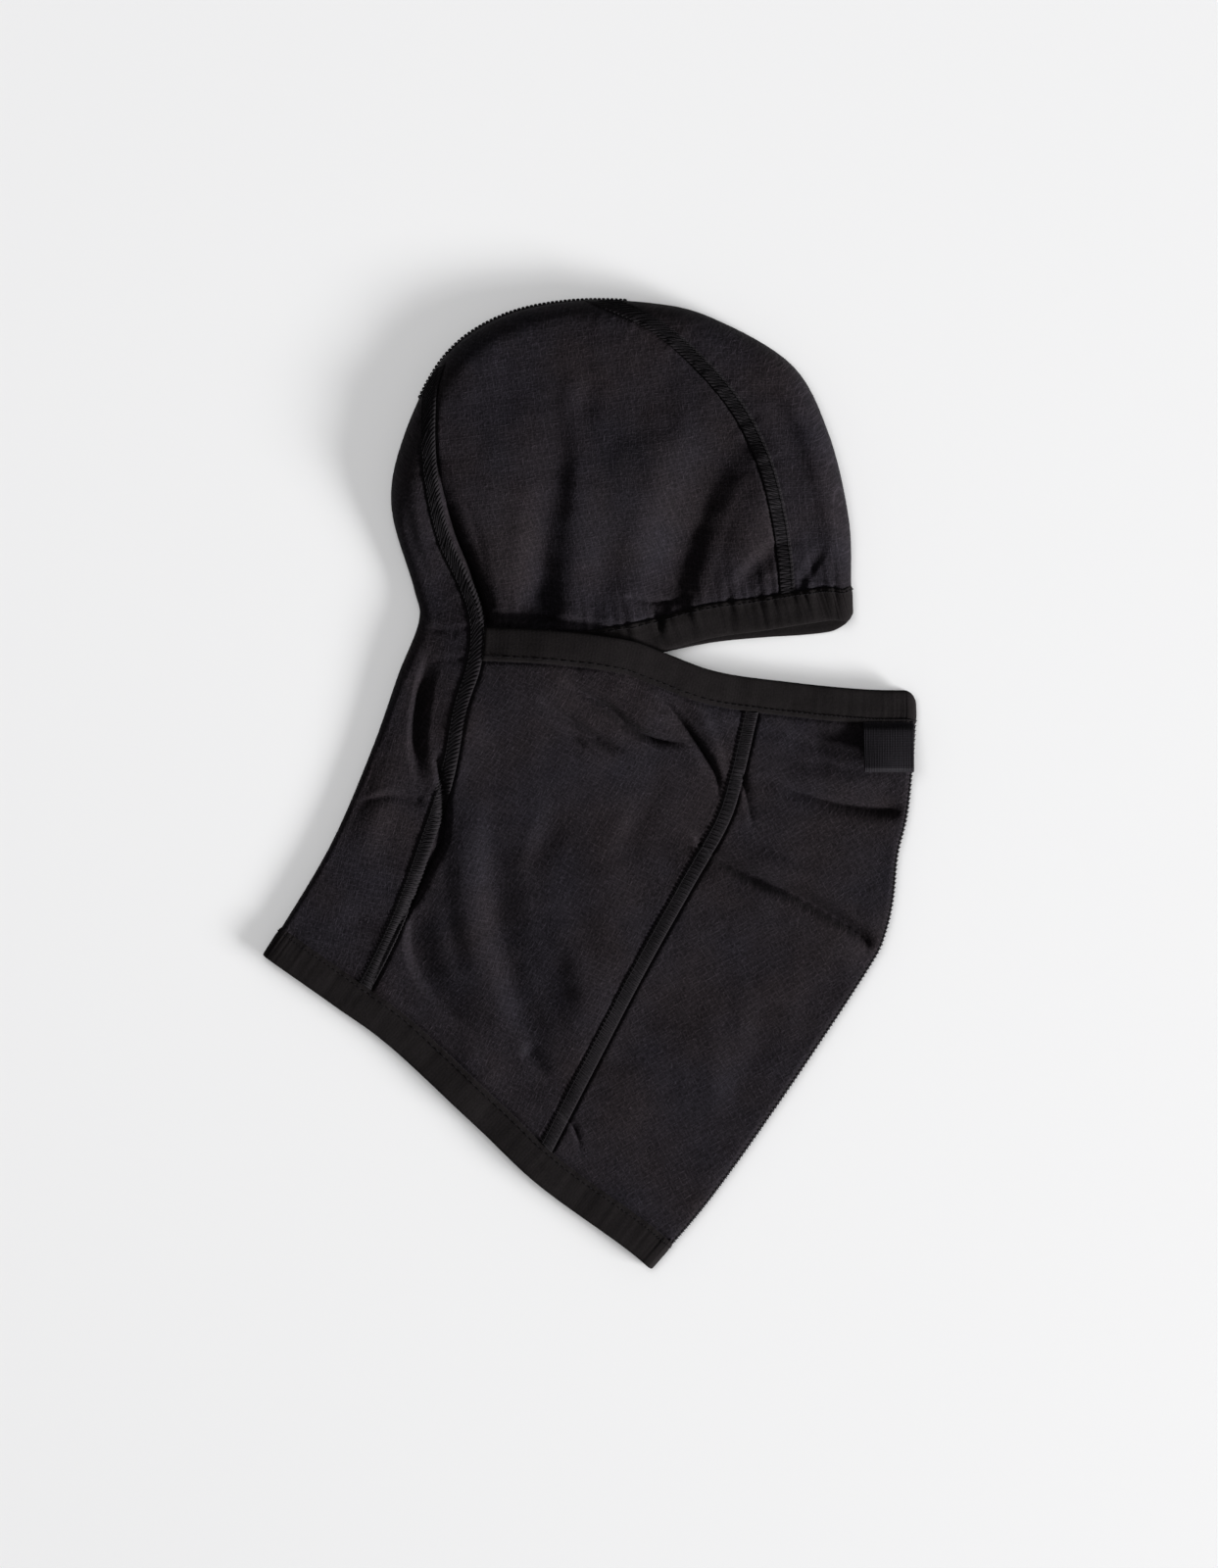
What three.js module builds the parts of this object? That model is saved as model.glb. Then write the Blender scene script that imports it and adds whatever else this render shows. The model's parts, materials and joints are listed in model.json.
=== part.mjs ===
// Balaclava with a hinged mask, lying flat on its left side.
// Millimetres. +X is the way the face points, +Y the crown, +Z up from the surface that it lies on.
// The upper layer is the wearer's right side, the lower layer the left side. The outline is the same on both.
import * as THREE from "three";
import { mergeVertices } from "three/addons/utils/BufferGeometryUtils.js";

// Overall size of the garment as it lies, and the size at which its outlines are drawn below
const GARMENT_WIDTH = 319;
const GARMENT_LENGTH = 473;
const DRAWN_WIDTH = 319;
const DRAWN_LENGTH = 473;

// Cloth, bands and seams
const FABRIC_THICKNESS = 1.2;
const BAND_WIDTH = 16.5;
const BAND_THICKNESS = 2.2;
const SEAM_WIDTH = 7.5;
const SEAM_THICKNESS = 2.2;
const SEWN_GAP = 0.6;

// How far the upper layer stands over the lower one, and how the folded edges are rounded
const HOOD_LOFT = 24;
const BROW_LOFT = 11;
const COLLAR_LOFT = 17;
const CHEST_LOFT = 7;
const FOLD_RISE = 3;
const TUCK_STEP = 3.2;

// Webbing tab
const TAB_WIDTH = 24.5;
const TAB_LENGTH = 22;
const TAB_PLY = 1.3;
const TAB_PLY_GAP = 0.6;
const TAB_TILT = 7;
const TAB_CLEARANCE = 0.35;
const TAB_CORNER_INSET = 0.4;
const SEAM_END_GAP = 2;
const TIP_WIDTH = 2.2;

// Sampling
const LINE_STEPS = 300;
const LINE_REACH = 14;
const CROWN_ROW_PACKING = 1.6;

const UPPER = 1;
const LOWER = -1;
const LOWER_LEVEL = Math.max(BAND_THICKNESS, SEAM_THICKNESS, FABRIC_THICKNESS) / 2;
const FOLD_LEVEL = LOWER_LEVEL + FOLD_RISE;

// ---------------------------------------------------------------- lines in plan

function line(points) {
  const scaled = points.map(([x, y]) => new THREE.Vector2(
    x * GARMENT_WIDTH / DRAWN_WIDTH, y * GARMENT_LENGTH / DRAWN_LENGTH));
  return new THREE.SplineCurve(scaled).getSpacedPoints(LINE_STEPS);
}

function along(path, t) {
  const place = THREE.MathUtils.clamp(t, 0, 1) * (path.length - 1);
  const index = Math.min(Math.floor(place), path.length - 2);
  return path[index].clone().lerp(path[index + 1], place - index);
}

function tangent(path, index) {
  const before = path[Math.max(index - 1, 0)];
  const after = path[Math.min(index + 1, path.length - 1)];
  return after.clone().sub(before).normalize();
}

function extend(path) {
  const last = path.length - 1;
  const start = path[0].clone().addScaledVector(tangent(path, 0), -LINE_REACH);
  const end = path[last].clone().addScaledVector(tangent(path, last), LINE_REACH);
  return [start, ...path, end];
}

// Positive distances go to the left of the direction of travel
function offset(path, distance) {
  return path.map((point, index) => {
    const way = tangent(path, index);
    return new THREE.Vector2(point.x - way.y * distance, point.y + way.x * distance);
  });
}

function crossing(first, second) {
  for (let i = 0; i < first.length - 1; i += 1) {
    const a = first[i];
    const r = first[i + 1].clone().sub(a);
    for (let j = 0; j < second.length - 1; j += 1) {
      const c = second[j];
      const s = second[j + 1].clone().sub(c);
      const area = r.cross(s);
      const between = c.clone().sub(a);
      const t = between.cross(s) / area;
      const u = between.cross(r) / area;
      if (area !== 0 && t >= 0 && t <= 1 && u >= 0 && u <= 1) {
        return [(i + t) / (first.length - 1), (j + u) / (second.length - 1)];
      }
    }
  }
  throw new Error("two lines of the pattern do not meet");
}

// Outer fold: from the rear corner of the hem up the nape, over the crown and down to the brow edge
const backFold = line([[-159.5, -84], [-128, -32], [-107, 16], [-93.5, 54], [-83.5, 80], [-86, 96],
  [-97, 136], [-91, 170], [-72, 208], [-45, 228], [-10, 236], [30, 235], [60, 227.5], [98, 205],
  [116, 172], [126, 130], [127.2, 96], [127.4, 79]]);
// Front fold: from the mask's upper corner down the chin to the lowest point of the hem
const frontFold = line([[157.5, 46], [158.4, 28], [155, -12], [150, -34], [147.7, -56], [143.5, -74],
  [135.5, -90], [97, -148], [58.5, -202], [29, -236.5]]);
const hemEdge = line([[-159.5, -84], [-124, -109], [-98, -128], [-56, -167], [-25, -196], [15, -225],
  [29, -236.5]]);
const maskEdge = line([[-60, 77], [-18, 75], [17.5, 70.5], [35, 64.6], [62, 55], [97, 50], [133, 46.5],
  [157.5, 46]]);
const browEdge = line([[-62, 59], [-20, 57], [10, 60], [35, 65.5], [60, 71.5], [92, 76], [127.4, 79]]);
const rearSeam = line([[-122, -120], [-97, -72], [-79, -24], [-70, 5], [-63.5, 38], [-57, 58], [-55.5, 78],
  [-61, 97], [-71, 118], [-77, 144], [-79, 168], [-78, 192], [-74, 206]]);
const crownFrontSeam = line([[97, 84], [95, 110], [91, 134], [83, 160], [68, 183], [47, 208], [26, 227],
  [0, 238]]);
const chinSeam = line([[81, 46], [77, 30], [71, 4], [64, -18], [47, -48], [23, -91], [-1, -137],
  [-32, -197]]);
const hemInner = extend(offset(hemEdge, BAND_WIDTH));
const maskInner = extend(offset(maskEdge, -BAND_WIDTH));
const browInner = extend(offset(browEdge, BAND_WIDTH));

// A panel between a seam and the outer fold ends where it has narrowed to TIP_WIDTH, on a short line
// from the seam square to the fold
function tipBeside(path) {
  const width = SEAM_WIDTH / 2 + SEWN_GAP + TIP_WIDTH;
  const last = path.findLastIndex((point) => nearestOn(backFold, point).distanceTo(point) > width);
  const foot = nearestOn(backFold, path[last]);
  const way = path[last].clone().sub(foot).normalize();
  const outer = foot.clone().addScaledVector(way, -LINE_REACH);
  const inner = path[last].clone().addScaledVector(way, LINE_REACH);
  return [outer, inner];
}

function nearestOn(path, point) {
  return path.reduce((best, next) => (next.distanceTo(point) < best.distanceTo(point) ? next : best));
}

const napeTip = tipBeside(rearSeam);
const crownTip = tipBeside(crownFrontSeam);

// ---------------------------------------------------------------- height of the cloth

function distanceTo(path, x, y) {
  let best = Infinity;
  for (let i = 0; i < path.length - 1; i += 1) {
    const a = path[i];
    const b = path[i + 1];
    const dx = b.x - a.x;
    const dy = b.y - a.y;
    const t = THREE.MathUtils.clamp(((x - a.x) * dx + (y - a.y) * dy) / (dx * dx + dy * dy), 0, 1);
    best = Math.min(best, Math.hypot(x - a.x - t * dx, y - a.y - t * dy));
  }
  return best;
}

function heightAboveMaskEdge(x, y) {
  const next = maskEdge.findIndex((point) => point.x >= x);
  if (next <= 0) {
    return y - (next === 0 ? maskEdge[0].y : maskEdge[maskEdge.length - 1].y);
  }
  const a = maskEdge[next - 1];
  const b = maskEdge[next];
  return y - THREE.MathUtils.mapLinear(x, a.x, b.x, a.y, b.y);
}

function neckLevel(x, y) {
  const across = (x / (GARMENT_WIDTH / DRAWN_WIDTH) + 15) / 70;
  const upward = (y / (GARMENT_LENGTH / DRAWN_LENGTH) - 62) / 50;
  const swell = Math.exp(-across * across - upward * upward);
  return LOWER_LEVEL + THREE.MathUtils.lerp(CHEST_LOFT, COLLAR_LOFT, swell);
}

function hoodLevel(y) {
  const up = THREE.MathUtils.smoothstep(y / (GARMENT_LENGTH / DRAWN_LENGTH), 90, 155);
  return LOWER_LEVEL + THREE.MathUtils.lerp(BROW_LOFT, HOOD_LOFT, up);
}

// Open level of a layer away from the folds. The hood's lower edge is tucked inside the neck.
function openLevel(part, side, x, y) {
  const above = heightAboveMaskEdge(x, y);
  if (side === LOWER) {
    const tucked = 1 - THREE.MathUtils.smoothstep(above, 4, 18);
    return LOWER_LEVEL + (part === "hood" ? TUCK_STEP * tucked : 0);
  }
  if (part === "neck") {
    return neckLevel(x, y);
  }
  const step = part === "hood" ? TUCK_STEP : 0;
  const free = THREE.MathUtils.smoothstep(above, 2, 28);
  return THREE.MathUtils.lerp(neckLevel(x, y) - step, hoodLevel(y), free);
}

// Height of the middle of the cloth, which rolls over to the fold level along the folded edges
function clothLevel(part, side, x, y) {
  const open = openLevel(part, side, x, y);
  const rise = open - FOLD_LEVEL;
  const radius = side === UPPER ? Math.max(FOLD_RISE, 0.9 * rise) : FOLD_RISE;
  const fold = part === "neck" ? Math.min(distanceTo(backFold, x, y), distanceTo(frontFold, x, y))
    : distanceTo(backFold, x, y);
  const inward = Math.min(fold / radius, 1);
  return FOLD_LEVEL + rise * Math.sqrt(1 - (1 - inward) * (1 - inward));
}

function clothPoint(part, side, plan) {
  return new THREE.Vector3(plan.x, plan.y, clothLevel(part, side, plan.x, plan.y));
}

// ---------------------------------------------------------------- solids from surfaces

// A closed sheet of even thickness about surface(u, v), with u and v from 0 to 1
function sheet(surface, columns, rows, thickness) {
  const geometry = new THREE.BoxGeometry(1, 1, 1, columns, rows, 1);
  geometry.deleteAttribute("normal");
  geometry.deleteAttribute("uv");
  const merged = mergeVertices(geometry, 1e-5);
  const position = merged.getAttribute("position");
  const step = 0.004;
  for (let i = 0; i < position.count; i += 1) {
    const u = position.getX(i) + 0.5;
    const v = position.getY(i) + 0.5;
    const alongU = surface(Math.min(u + step, 1), v).sub(surface(Math.max(u - step, 0), v));
    const alongV = surface(u, Math.min(v + step, 1)).sub(surface(u, Math.max(v - step, 0)));
    const normal = alongU.cross(alongV).normalize();
    const point = surface(u, v).addScaledVector(normal, position.getZ(i) * thickness);
    position.setXYZ(i, point.x, point.y, point.z);
  }
  merged.computeVertexNormals();
  return merged;
}

function isInsideOut(geometry) {
  const position = geometry.getAttribute("position");
  const index = geometry.getIndex();
  const corners = [new THREE.Vector3(), new THREE.Vector3(), new THREE.Vector3()];
  let volume = 0;
  for (let i = 0; i < index.count; i += 3) {
    corners.forEach((corner, k) => corner.fromBufferAttribute(position, index.getX(i + k)));
    volume += corners[0].dot(corners[1].clone().cross(corners[2]));
  }
  return volume < 0;
}

function outward(geometry) {
  if (isInsideOut(geometry)) {
    const index = geometry.getIndex();
    for (let i = 0; i < index.count; i += 3) {
      const second = index.getX(i + 1);
      index.setX(i + 1, index.getX(i + 2));
      index.setX(i + 2, second);
    }
    geometry.computeVertexNormals();
  }
  return geometry;
}

// A four-sided patch of the plan between a left, right, bottom and top line, met at their crossings
function patch(left, right, bottom, top) {
  const [leftLow, bottomLeft] = crossing(left, bottom);
  const [leftHigh, topLeft] = crossing(left, top);
  const [rightLow, bottomRight] = crossing(right, bottom);
  const [rightHigh, topRight] = crossing(right, top);
  const { lerp } = THREE.MathUtils;
  return (u, v) => {
    const corners = along(left, leftLow).multiplyScalar((1 - u) * (1 - v))
      .add(along(right, rightLow).multiplyScalar(u * (1 - v)))
      .add(along(left, leftHigh).multiplyScalar((1 - u) * v))
      .add(along(right, rightHigh).multiplyScalar(u * v));
    return along(left, lerp(leftLow, leftHigh, v)).multiplyScalar(1 - u)
      .add(along(right, lerp(rightLow, rightHigh, v)).multiplyScalar(u))
      .add(along(bottom, lerp(bottomLeft, bottomRight, u)).multiplyScalar(1 - v))
      .add(along(top, lerp(topLeft, topRight, u)).multiplyScalar(v))
      .sub(corners);
  };
}

// One layer of cloth over a patch
function layer(part, side, plan) {
  return (u, v) => clothPoint(part, side, plan(u, v));
}

// Cloth that goes round a fold on the patch's left side: u runs from the lower layer to the upper one
function folded(part, plan) {
  return (u, v) => {
    const turn = 2 * u - 1;
    return clothPoint(part, turn < 0 ? LOWER : UPPER, plan(turn * turn, v));
  };
}

// ---------------------------------------------------------------- seams

const seamHalf = SEAM_WIDTH / 2;
const seamClear = seamHalf + SEWN_GAP;

// A raised seam along a line of the plan, from one crossing line to another
function seamStrip(part, side, path, from, to) {
  const left = extend(offset(path, seamHalf));
  const right = extend(offset(path, -seamHalf));
  return layer(part, side, patch(left, right, from, to));
}

// How far in from the fold a point lies that is a given distance round it
function foldInset(part, side, point, way, reach) {
  let low = 0;
  let high = reach;
  for (let i = 0; i < 30; i += 1) {
    const inset = (low + high) / 2;
    const plan = point.clone().addScaledVector(way, inset);
    const rise = clothLevel(part, side, plan.x, plan.y) - FOLD_LEVEL;
    if (Math.hypot(inset, rise) < reach) {
      low = inset;
    } else {
      high = inset;
    }
  }
  return (low + high) / 2;
}

// Into the cloth, which lies to the right of both fold lines
function inwardAt(path, index) {
  const way = tangent(path, index);
  return new THREE.Vector2(way.y, -way.x);
}

// A fold line moved into the cloth by a distance measured round the fold
function foldRim(part, side, path, reach) {
  return path.map((point, index) => {
    const inward = inwardAt(path, index);
    return point.clone().addScaledVector(inward, foldInset(part, side, point, inward, reach));
  });
}

// A raised seam that rides on a fold and reaches the same distance round it on both layers
function foldSeam(part, path, fromT, toT) {
  return (u, v) => {
    const round = 2 * u - 1;
    const side = round < 0 ? LOWER : UPPER;
    const t = THREE.MathUtils.lerp(fromT, toT, v);
    const inward = inwardAt(path, Math.round(t * (path.length - 1)));
    const point = along(path, t);
    const inset = foldInset(part, side, point, inward, Math.abs(round) * seamHalf);
    return clothPoint(part, side, point.addScaledVector(inward, inset));
  };
}

// ---------------------------------------------------------------- lines that the panels are cut to

const hemCut = extend(offset(hemEdge, BAND_WIDTH + SEWN_GAP));
const maskCut = extend(offset(maskEdge, -BAND_WIDTH - SEWN_GAP));
const browCut = extend(offset(browEdge, BAND_WIDTH + SEWN_GAP));
const rearOfSeam = extend(offset(rearSeam, seamClear));
const frontOfRearSeam = extend(offset(rearSeam, -seamClear));
const rearOfCrownSeam = extend(offset(crownFrontSeam, seamClear));
const frontOfCrownSeam = extend(offset(crownFrontSeam, -seamClear));
const rearOfChinSeam = extend(offset(chinSeam, -seamClear));
const frontOfChinSeam = extend(offset(chinSeam, seamClear));

// ---------------------------------------------------------------- panels

function hoodSidePanel(side) {
  const crown = foldRim("hood", side, backFold, seamClear);
  const plan = patch(frontOfRearSeam, rearOfCrownSeam, browCut, crown);
  const towardsCrown = (v) => 1 - (1 - v) ** CROWN_ROW_PACKING;
  return sheet(layer("hood", side, (u, v) => plan(u, towardsCrown(v))), 12, 18, FABRIC_THICKNESS);
}

function crownFrontPanel() {
  const plan = patch(extend(backFold), frontOfCrownSeam, browCut, crownTip);
  return sheet(folded("hood", plan), 14, 14, FABRIC_THICKNESS);
}

function backPanel() {
  const plan = patch(extend(backFold), rearOfSeam, hemCut, napeTip);
  return sheet(folded("back", plan), 12, 26, FABRIC_THICKNESS);
}

function neckSidePanel(side) {
  const plan = patch(frontOfRearSeam, rearOfChinSeam, hemCut, maskCut);
  return sheet(layer("neck", side, plan), 10, 17, FABRIC_THICKNESS);
}

function chinPanel(side) {
  const rim = extend(foldRim("neck", side, frontFold, seamClear));
  const plan = patch(rim, frontOfChinSeam, hemCut, maskCut);
  return sheet(layer("neck", side, (u, v) => plan(u * u, v)), 8, 14, FABRIC_THICKNESS);
}

// ---------------------------------------------------------------- bands

// A band that starts beside the rear seam on one layer, turns round a fold and ends on the other layer
function faceBand(part, edge, inner, fold, columns) {
  const plan = patch(extend(fold), extend(offset(rearSeam, -seamClear)), extend(edge), inner);
  return sheet(folded(part, plan), columns, 2, BAND_THICKNESS);
}

// The hem band is a loop that is butted together on the lower layer, near the rear corner
function hemBand() {
  const plan = patch(extend(backFold), extend(frontFold), hemEdge, hemInner);
  const start = -0.5;
  const butt = SEWN_GAP / (0.25 * GARMENT_LENGTH * Math.sin(-start));
  const turn = (u) => THREE.MathUtils.lerp(start, start + 2 * Math.PI - butt, u);
  const surface = (u, v) => {
    const side = Math.sin(turn(u)) < 0 ? LOWER : UPPER;
    return clothPoint("neck", side, plan((1 - Math.cos(turn(u))) / 2, v));
  };
  return sheet(surface, 40, 2, BAND_THICKNESS);
}

// ---------------------------------------------------------------- tab

const tabThickness = 2 * TAB_PLY + TAB_PLY_GAP;
const tabRight = along(frontFold, 0.02).x - TAB_CORNER_INSET;
const tabMiddle = tabRight - TAB_WIDTH / 2;
const bandFoot = Math.min(along(maskInner, crossing(maskInner, extend(frontFold))[0]).y,
  maskEdge[maskEdge.length - 1].y - BAND_WIDTH) - TAB_CLEARANCE;
const tabPivotY = bandFoot - tabThickness / 2;
const tabPivotZ = clothLevel("neck", UPPER, tabMiddle, tabPivotY) + FABRIC_THICKNESS / 2
  + TAB_CLEARANCE + tabThickness / 2;

// Webbing doubled over on itself: a round head at the sewn end and a fold at the free end
function pullTab() {
  const outer = tabThickness / 2;
  const inner = TAB_PLY_GAP / 2;
  const shape = new THREE.Shape();
  shape.absarc(0, 0, outer, Math.PI / 2, -Math.PI / 2, true);
  shape.lineTo(-TAB_LENGTH + outer, -outer);
  shape.absarc(-TAB_LENGTH + outer, 0, outer, -Math.PI / 2, Math.PI / 2, true);
  shape.lineTo(0, outer);
  const slit = new THREE.Path();
  slit.moveTo(-outer, -inner);
  slit.lineTo(-outer, inner);
  slit.lineTo(-TAB_LENGTH + outer, inner);
  slit.lineTo(-TAB_LENGTH + outer, -inner);
  shape.holes.push(slit);
  const geometry = new THREE.ExtrudeGeometry(shape, { depth: TAB_WIDTH, bevelEnabled: false,
    curveSegments: 6 });
  geometry.deleteAttribute("normal");
  geometry.deleteAttribute("uv");
  const merged = mergeVertices(geometry, 1e-5);
  merged.translate(0, 0, -TAB_WIDTH / 2);
  merged.applyMatrix4(new THREE.Matrix4().makeBasis(
    new THREE.Vector3(0, 1, 0), new THREE.Vector3(0, 0, 1), new THREE.Vector3(1, 0, 0)));
  merged.rotateX(-THREE.MathUtils.degToRad(TAB_TILT));
  merged.computeVertexNormals();
  return merged;
}

// ---------------------------------------------------------------- materials and assembly

function woven() {
  return new THREE.MeshStandardMaterial({ color: 0x19181b, roughness: 0.82, metalness: 0 });
}

function elastic() {
  return new THREE.MeshStandardMaterial({ color: 0x14120f, roughness: 0.95, metalness: 0 });
}

function thread() {
  return new THREE.MeshStandardMaterial({ color: 0x17161a, roughness: 0.7, metalness: 0 });
}

function webbing() {
  return new THREE.MeshStandardMaterial({ color: 0x161518, roughness: 0.6, metalness: 0 });
}

const garment = new THREE.Group();

function add(name, geometry, material) {
  const mesh = new THREE.Mesh(outward(geometry), material);
  mesh.name = name;
  garment.add(mesh);
  return mesh;
}

function seam(surface, rows) {
  return sheet(surface, 2, rows, SEAM_THICKNESS);
}

for (const [hand, side] of [["right", UPPER], ["left", LOWER]]) {
  add(`hood_side_panel_${hand}`, hoodSidePanel(side), woven());
  add(`neck_side_panel_${hand}`, neckSidePanel(side), woven());
  add(`chin_panel_${hand}`, chinPanel(side), woven());
  add(`rear_seam_${hand}`, seam(seamStrip("back", side, rearSeam, hemCut, napeTip), 34), thread());
  add(`crown_front_seam_${hand}`,
    seam(seamStrip("hood", side, crownFrontSeam, browCut, crownTip), 18), thread());
  add(`chin_seam_${hand}`, seam(seamStrip("neck", side, chinSeam, maskCut, hemCut), 20), thread());
}
add("crown_front_panel", crownFrontPanel(), woven());
add("back_panel", backPanel(), woven());

const crownStart = crossing(backFold, offset(napeTip, SEAM_END_GAP))[0];
const crownEnd = crossing(backFold, offset(crownTip, -SEAM_END_GAP))[0];
add("crown_centre_seam", seam(foldSeam("hood", backFold, crownStart, crownEnd), 20), thread());
const frontStart = crossing(frontFold, maskCut)[0];
const frontEnd = crossing(frontFold, hemCut)[0];
add("centre_front_seam", seam(foldSeam("neck", frontFold, frontStart, frontEnd), 26), thread());

add("brow_band", faceBand("hood", browEdge, browInner, backFold, 30), elastic());
add("mask_band", faceBand("neck", maskEdge, maskInner, frontFold, 32), elastic());
add("hem_band", hemBand(), elastic());

const tab = add("pull_tab", pullTab(), webbing());
tab.position.set(tabMiddle, tabPivotY, tabPivotZ);

export default garment;
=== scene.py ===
"""Balaclava with a hinged mask, lying flat on its left side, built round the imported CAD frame.

Plan lines and heights are written in millimetres in the frame's own axes, and made metres in the meshes.
The upper layer is the wearer's right side. The lower layer lies on the floor.
"""

import json
import math

import bmesh
import bpy
import numpy as np
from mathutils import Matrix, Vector


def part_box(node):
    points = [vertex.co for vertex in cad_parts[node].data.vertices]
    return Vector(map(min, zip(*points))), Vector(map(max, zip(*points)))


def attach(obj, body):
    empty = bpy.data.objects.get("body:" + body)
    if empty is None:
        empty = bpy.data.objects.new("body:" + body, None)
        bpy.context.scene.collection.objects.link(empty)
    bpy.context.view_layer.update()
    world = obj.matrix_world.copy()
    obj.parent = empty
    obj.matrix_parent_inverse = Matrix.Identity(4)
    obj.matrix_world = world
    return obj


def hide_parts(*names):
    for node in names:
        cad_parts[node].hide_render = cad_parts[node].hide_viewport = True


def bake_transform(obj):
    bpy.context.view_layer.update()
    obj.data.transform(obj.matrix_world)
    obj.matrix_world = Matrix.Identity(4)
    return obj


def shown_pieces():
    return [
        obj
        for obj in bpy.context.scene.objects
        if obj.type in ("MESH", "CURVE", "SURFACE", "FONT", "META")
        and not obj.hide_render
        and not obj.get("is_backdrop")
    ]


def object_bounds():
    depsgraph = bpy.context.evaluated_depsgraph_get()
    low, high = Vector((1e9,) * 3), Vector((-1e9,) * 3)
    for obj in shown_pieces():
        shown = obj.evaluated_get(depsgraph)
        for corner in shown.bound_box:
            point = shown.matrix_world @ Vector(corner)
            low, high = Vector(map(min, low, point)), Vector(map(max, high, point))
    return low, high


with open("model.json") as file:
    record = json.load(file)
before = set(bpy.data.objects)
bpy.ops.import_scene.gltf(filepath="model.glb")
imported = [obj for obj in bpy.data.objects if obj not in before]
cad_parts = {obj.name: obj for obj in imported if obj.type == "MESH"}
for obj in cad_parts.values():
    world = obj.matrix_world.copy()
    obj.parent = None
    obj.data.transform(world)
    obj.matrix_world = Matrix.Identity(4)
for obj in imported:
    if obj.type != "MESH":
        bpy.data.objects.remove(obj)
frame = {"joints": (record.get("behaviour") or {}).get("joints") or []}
CAD_LOW, CAD_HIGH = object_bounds()

MM = 0.001
DRAWN_BOX = (319.93, 474.82)      # the garment's width and length as the plan lines are drawn
PLAN_SCALE = np.array([(CAD_HIGH.x - CAD_LOW.x) / (DRAWN_BOX[0] * MM),
                       (CAD_HIGH.y - CAD_LOW.y) / (DRAWN_BOX[1] * MM)])

UPPER, LOWER = 1, -1
BAND_WIDTH = 16.5
BAND_HALF = 1.05
SEAM_HALF = 3.7
SEAM_COVER = 1.4          # how far a panel's edge runs in under a seam or band
CLOTH = 0.6               # thickness of the cloth
LOWER_LEVEL = 1.1         # height of the lower layer's middle
FOLD_RISE = 3.0
FOLD_LEVEL = LOWER_LEVEL + FOLD_RISE
HOOD_LOFT, BROW_LOFT, COLLAR_LOFT, CHEST_LOFT = 19.0, 9.0, 15.5, 6.2
LAYER_GAP = 1.4           # the upper layer never comes nearer to the lower one
TUCK_STEP = 3.4           # how far the hood lies below the neck that it is tucked into
FOLD_CALM = 9.0           # creases fade out this near a fold
GROOVE = 1.1              # width of the dip beside a seam
STITCH = 2.2              # seam stitch length
ROW_STITCH = 2.6          # stitch length of the rows on the bands
THREAD, ROW_THREAD = 0.24, 0.2    # radii


# ------------------------------------------------------------------ lines in plan

def spaced(path, count):
    """The same line with evenly spaced points."""
    run = np.concatenate([[0], np.cumsum(np.linalg.norm(np.diff(path, axis=0), axis=1))])
    at = np.linspace(0, run[-1], count)
    return np.stack([np.interp(at, run, path[:, k]) for k in range(path.shape[1])], axis=1)


def smooth(points, count):
    """A smooth line through a few points."""
    p = np.vstack([points[:1], points, points[-1:]])
    t = np.linspace(0, 1, 24, endpoint=False)[:, None]
    runs = []
    for a, b, c, d in zip(p[:-3], p[1:-2], p[2:-1], p[3:]):
        v0, v1 = (c - a) / 2, (d - b) / 2
        runs.append((2 * b - 2 * c + v0 + v1) * t**3 + (-3 * b + 3 * c - 2 * v0 - v1) * t**2 + v0 * t + b)
    return spaced(np.vstack([*runs, p[-1:]]), count)


def line(points, count=260):
    """A smooth line in plan, at the frame's size."""
    return smooth(np.array(points, float) * PLAN_SCALE, count)


def ways(path):
    way = np.gradient(path, axis=0)
    return way / np.linalg.norm(way, axis=1)[:, None]


def offset(path, distance):
    """The line moved to its left by a distance, or an array of distances."""
    way = ways(path)
    return path + np.stack([-way[:, 1], way[:, 0]], axis=1) * np.reshape(distance, (-1, 1))


def extend(path, reach=14.0):
    way = ways(path)
    return np.vstack([path[0] - way[0] * reach, path, path[-1] + way[-1] * reach])


def along(path, t):
    place = np.clip(t, 0, 1) * (len(path) - 1)
    return np.stack([np.interp(place, np.arange(len(path)), path[:, k]) for k in range(2)], axis=-1)


def crossing(first, second):
    """How far along each line, from 0 to 1, the first place lies where they cross."""
    a, r = first[:-1, None], np.diff(first, axis=0)[:, None]
    c, s = second[None, :-1], np.diff(second, axis=0)[None]
    def cross(p, q):
        return p[..., 0] * q[..., 1] - p[..., 1] * q[..., 0]
    area = cross(r, s)
    area = np.where(np.abs(area) < 1e-12, np.nan, area)
    t, u = cross(c - a, s) / area, cross(c - a, r) / area
    i, j = np.argwhere((t >= 0) & (t <= 1) & (u >= 0) & (u <= 1))[0]
    return (i + t[i, j]) / (len(first) - 1), (j + u[i, j]) / (len(second) - 1)


def patch(left, right, bottom, top):
    """A four-sided patch of the plan between four lines: a function of u and v from 0 to 1."""
    (l0, b0), (l1, t0) = crossing(left, bottom), crossing(left, top)
    (r0, b1), (r1, t1) = crossing(right, bottom), crossing(right, top)
    corners = [along(left, l0), along(right, r0), along(left, l1), along(right, r1)]

    def place(u, v):
        uu, vv = u[..., None], v[..., None]
        edges = (along(left, l0 + (l1 - l0) * v) * (1 - uu) + along(right, r0 + (r1 - r0) * v) * uu
                 + along(bottom, b0 + (b1 - b0) * u) * (1 - vv) + along(top, t0 + (t1 - t0) * u) * vv)
        return edges - (corners[0] * (1 - uu) * (1 - vv) + corners[1] * uu * (1 - vv)
                        + corners[2] * (1 - uu) * vv + corners[3] * uu * vv)
    return place


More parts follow.
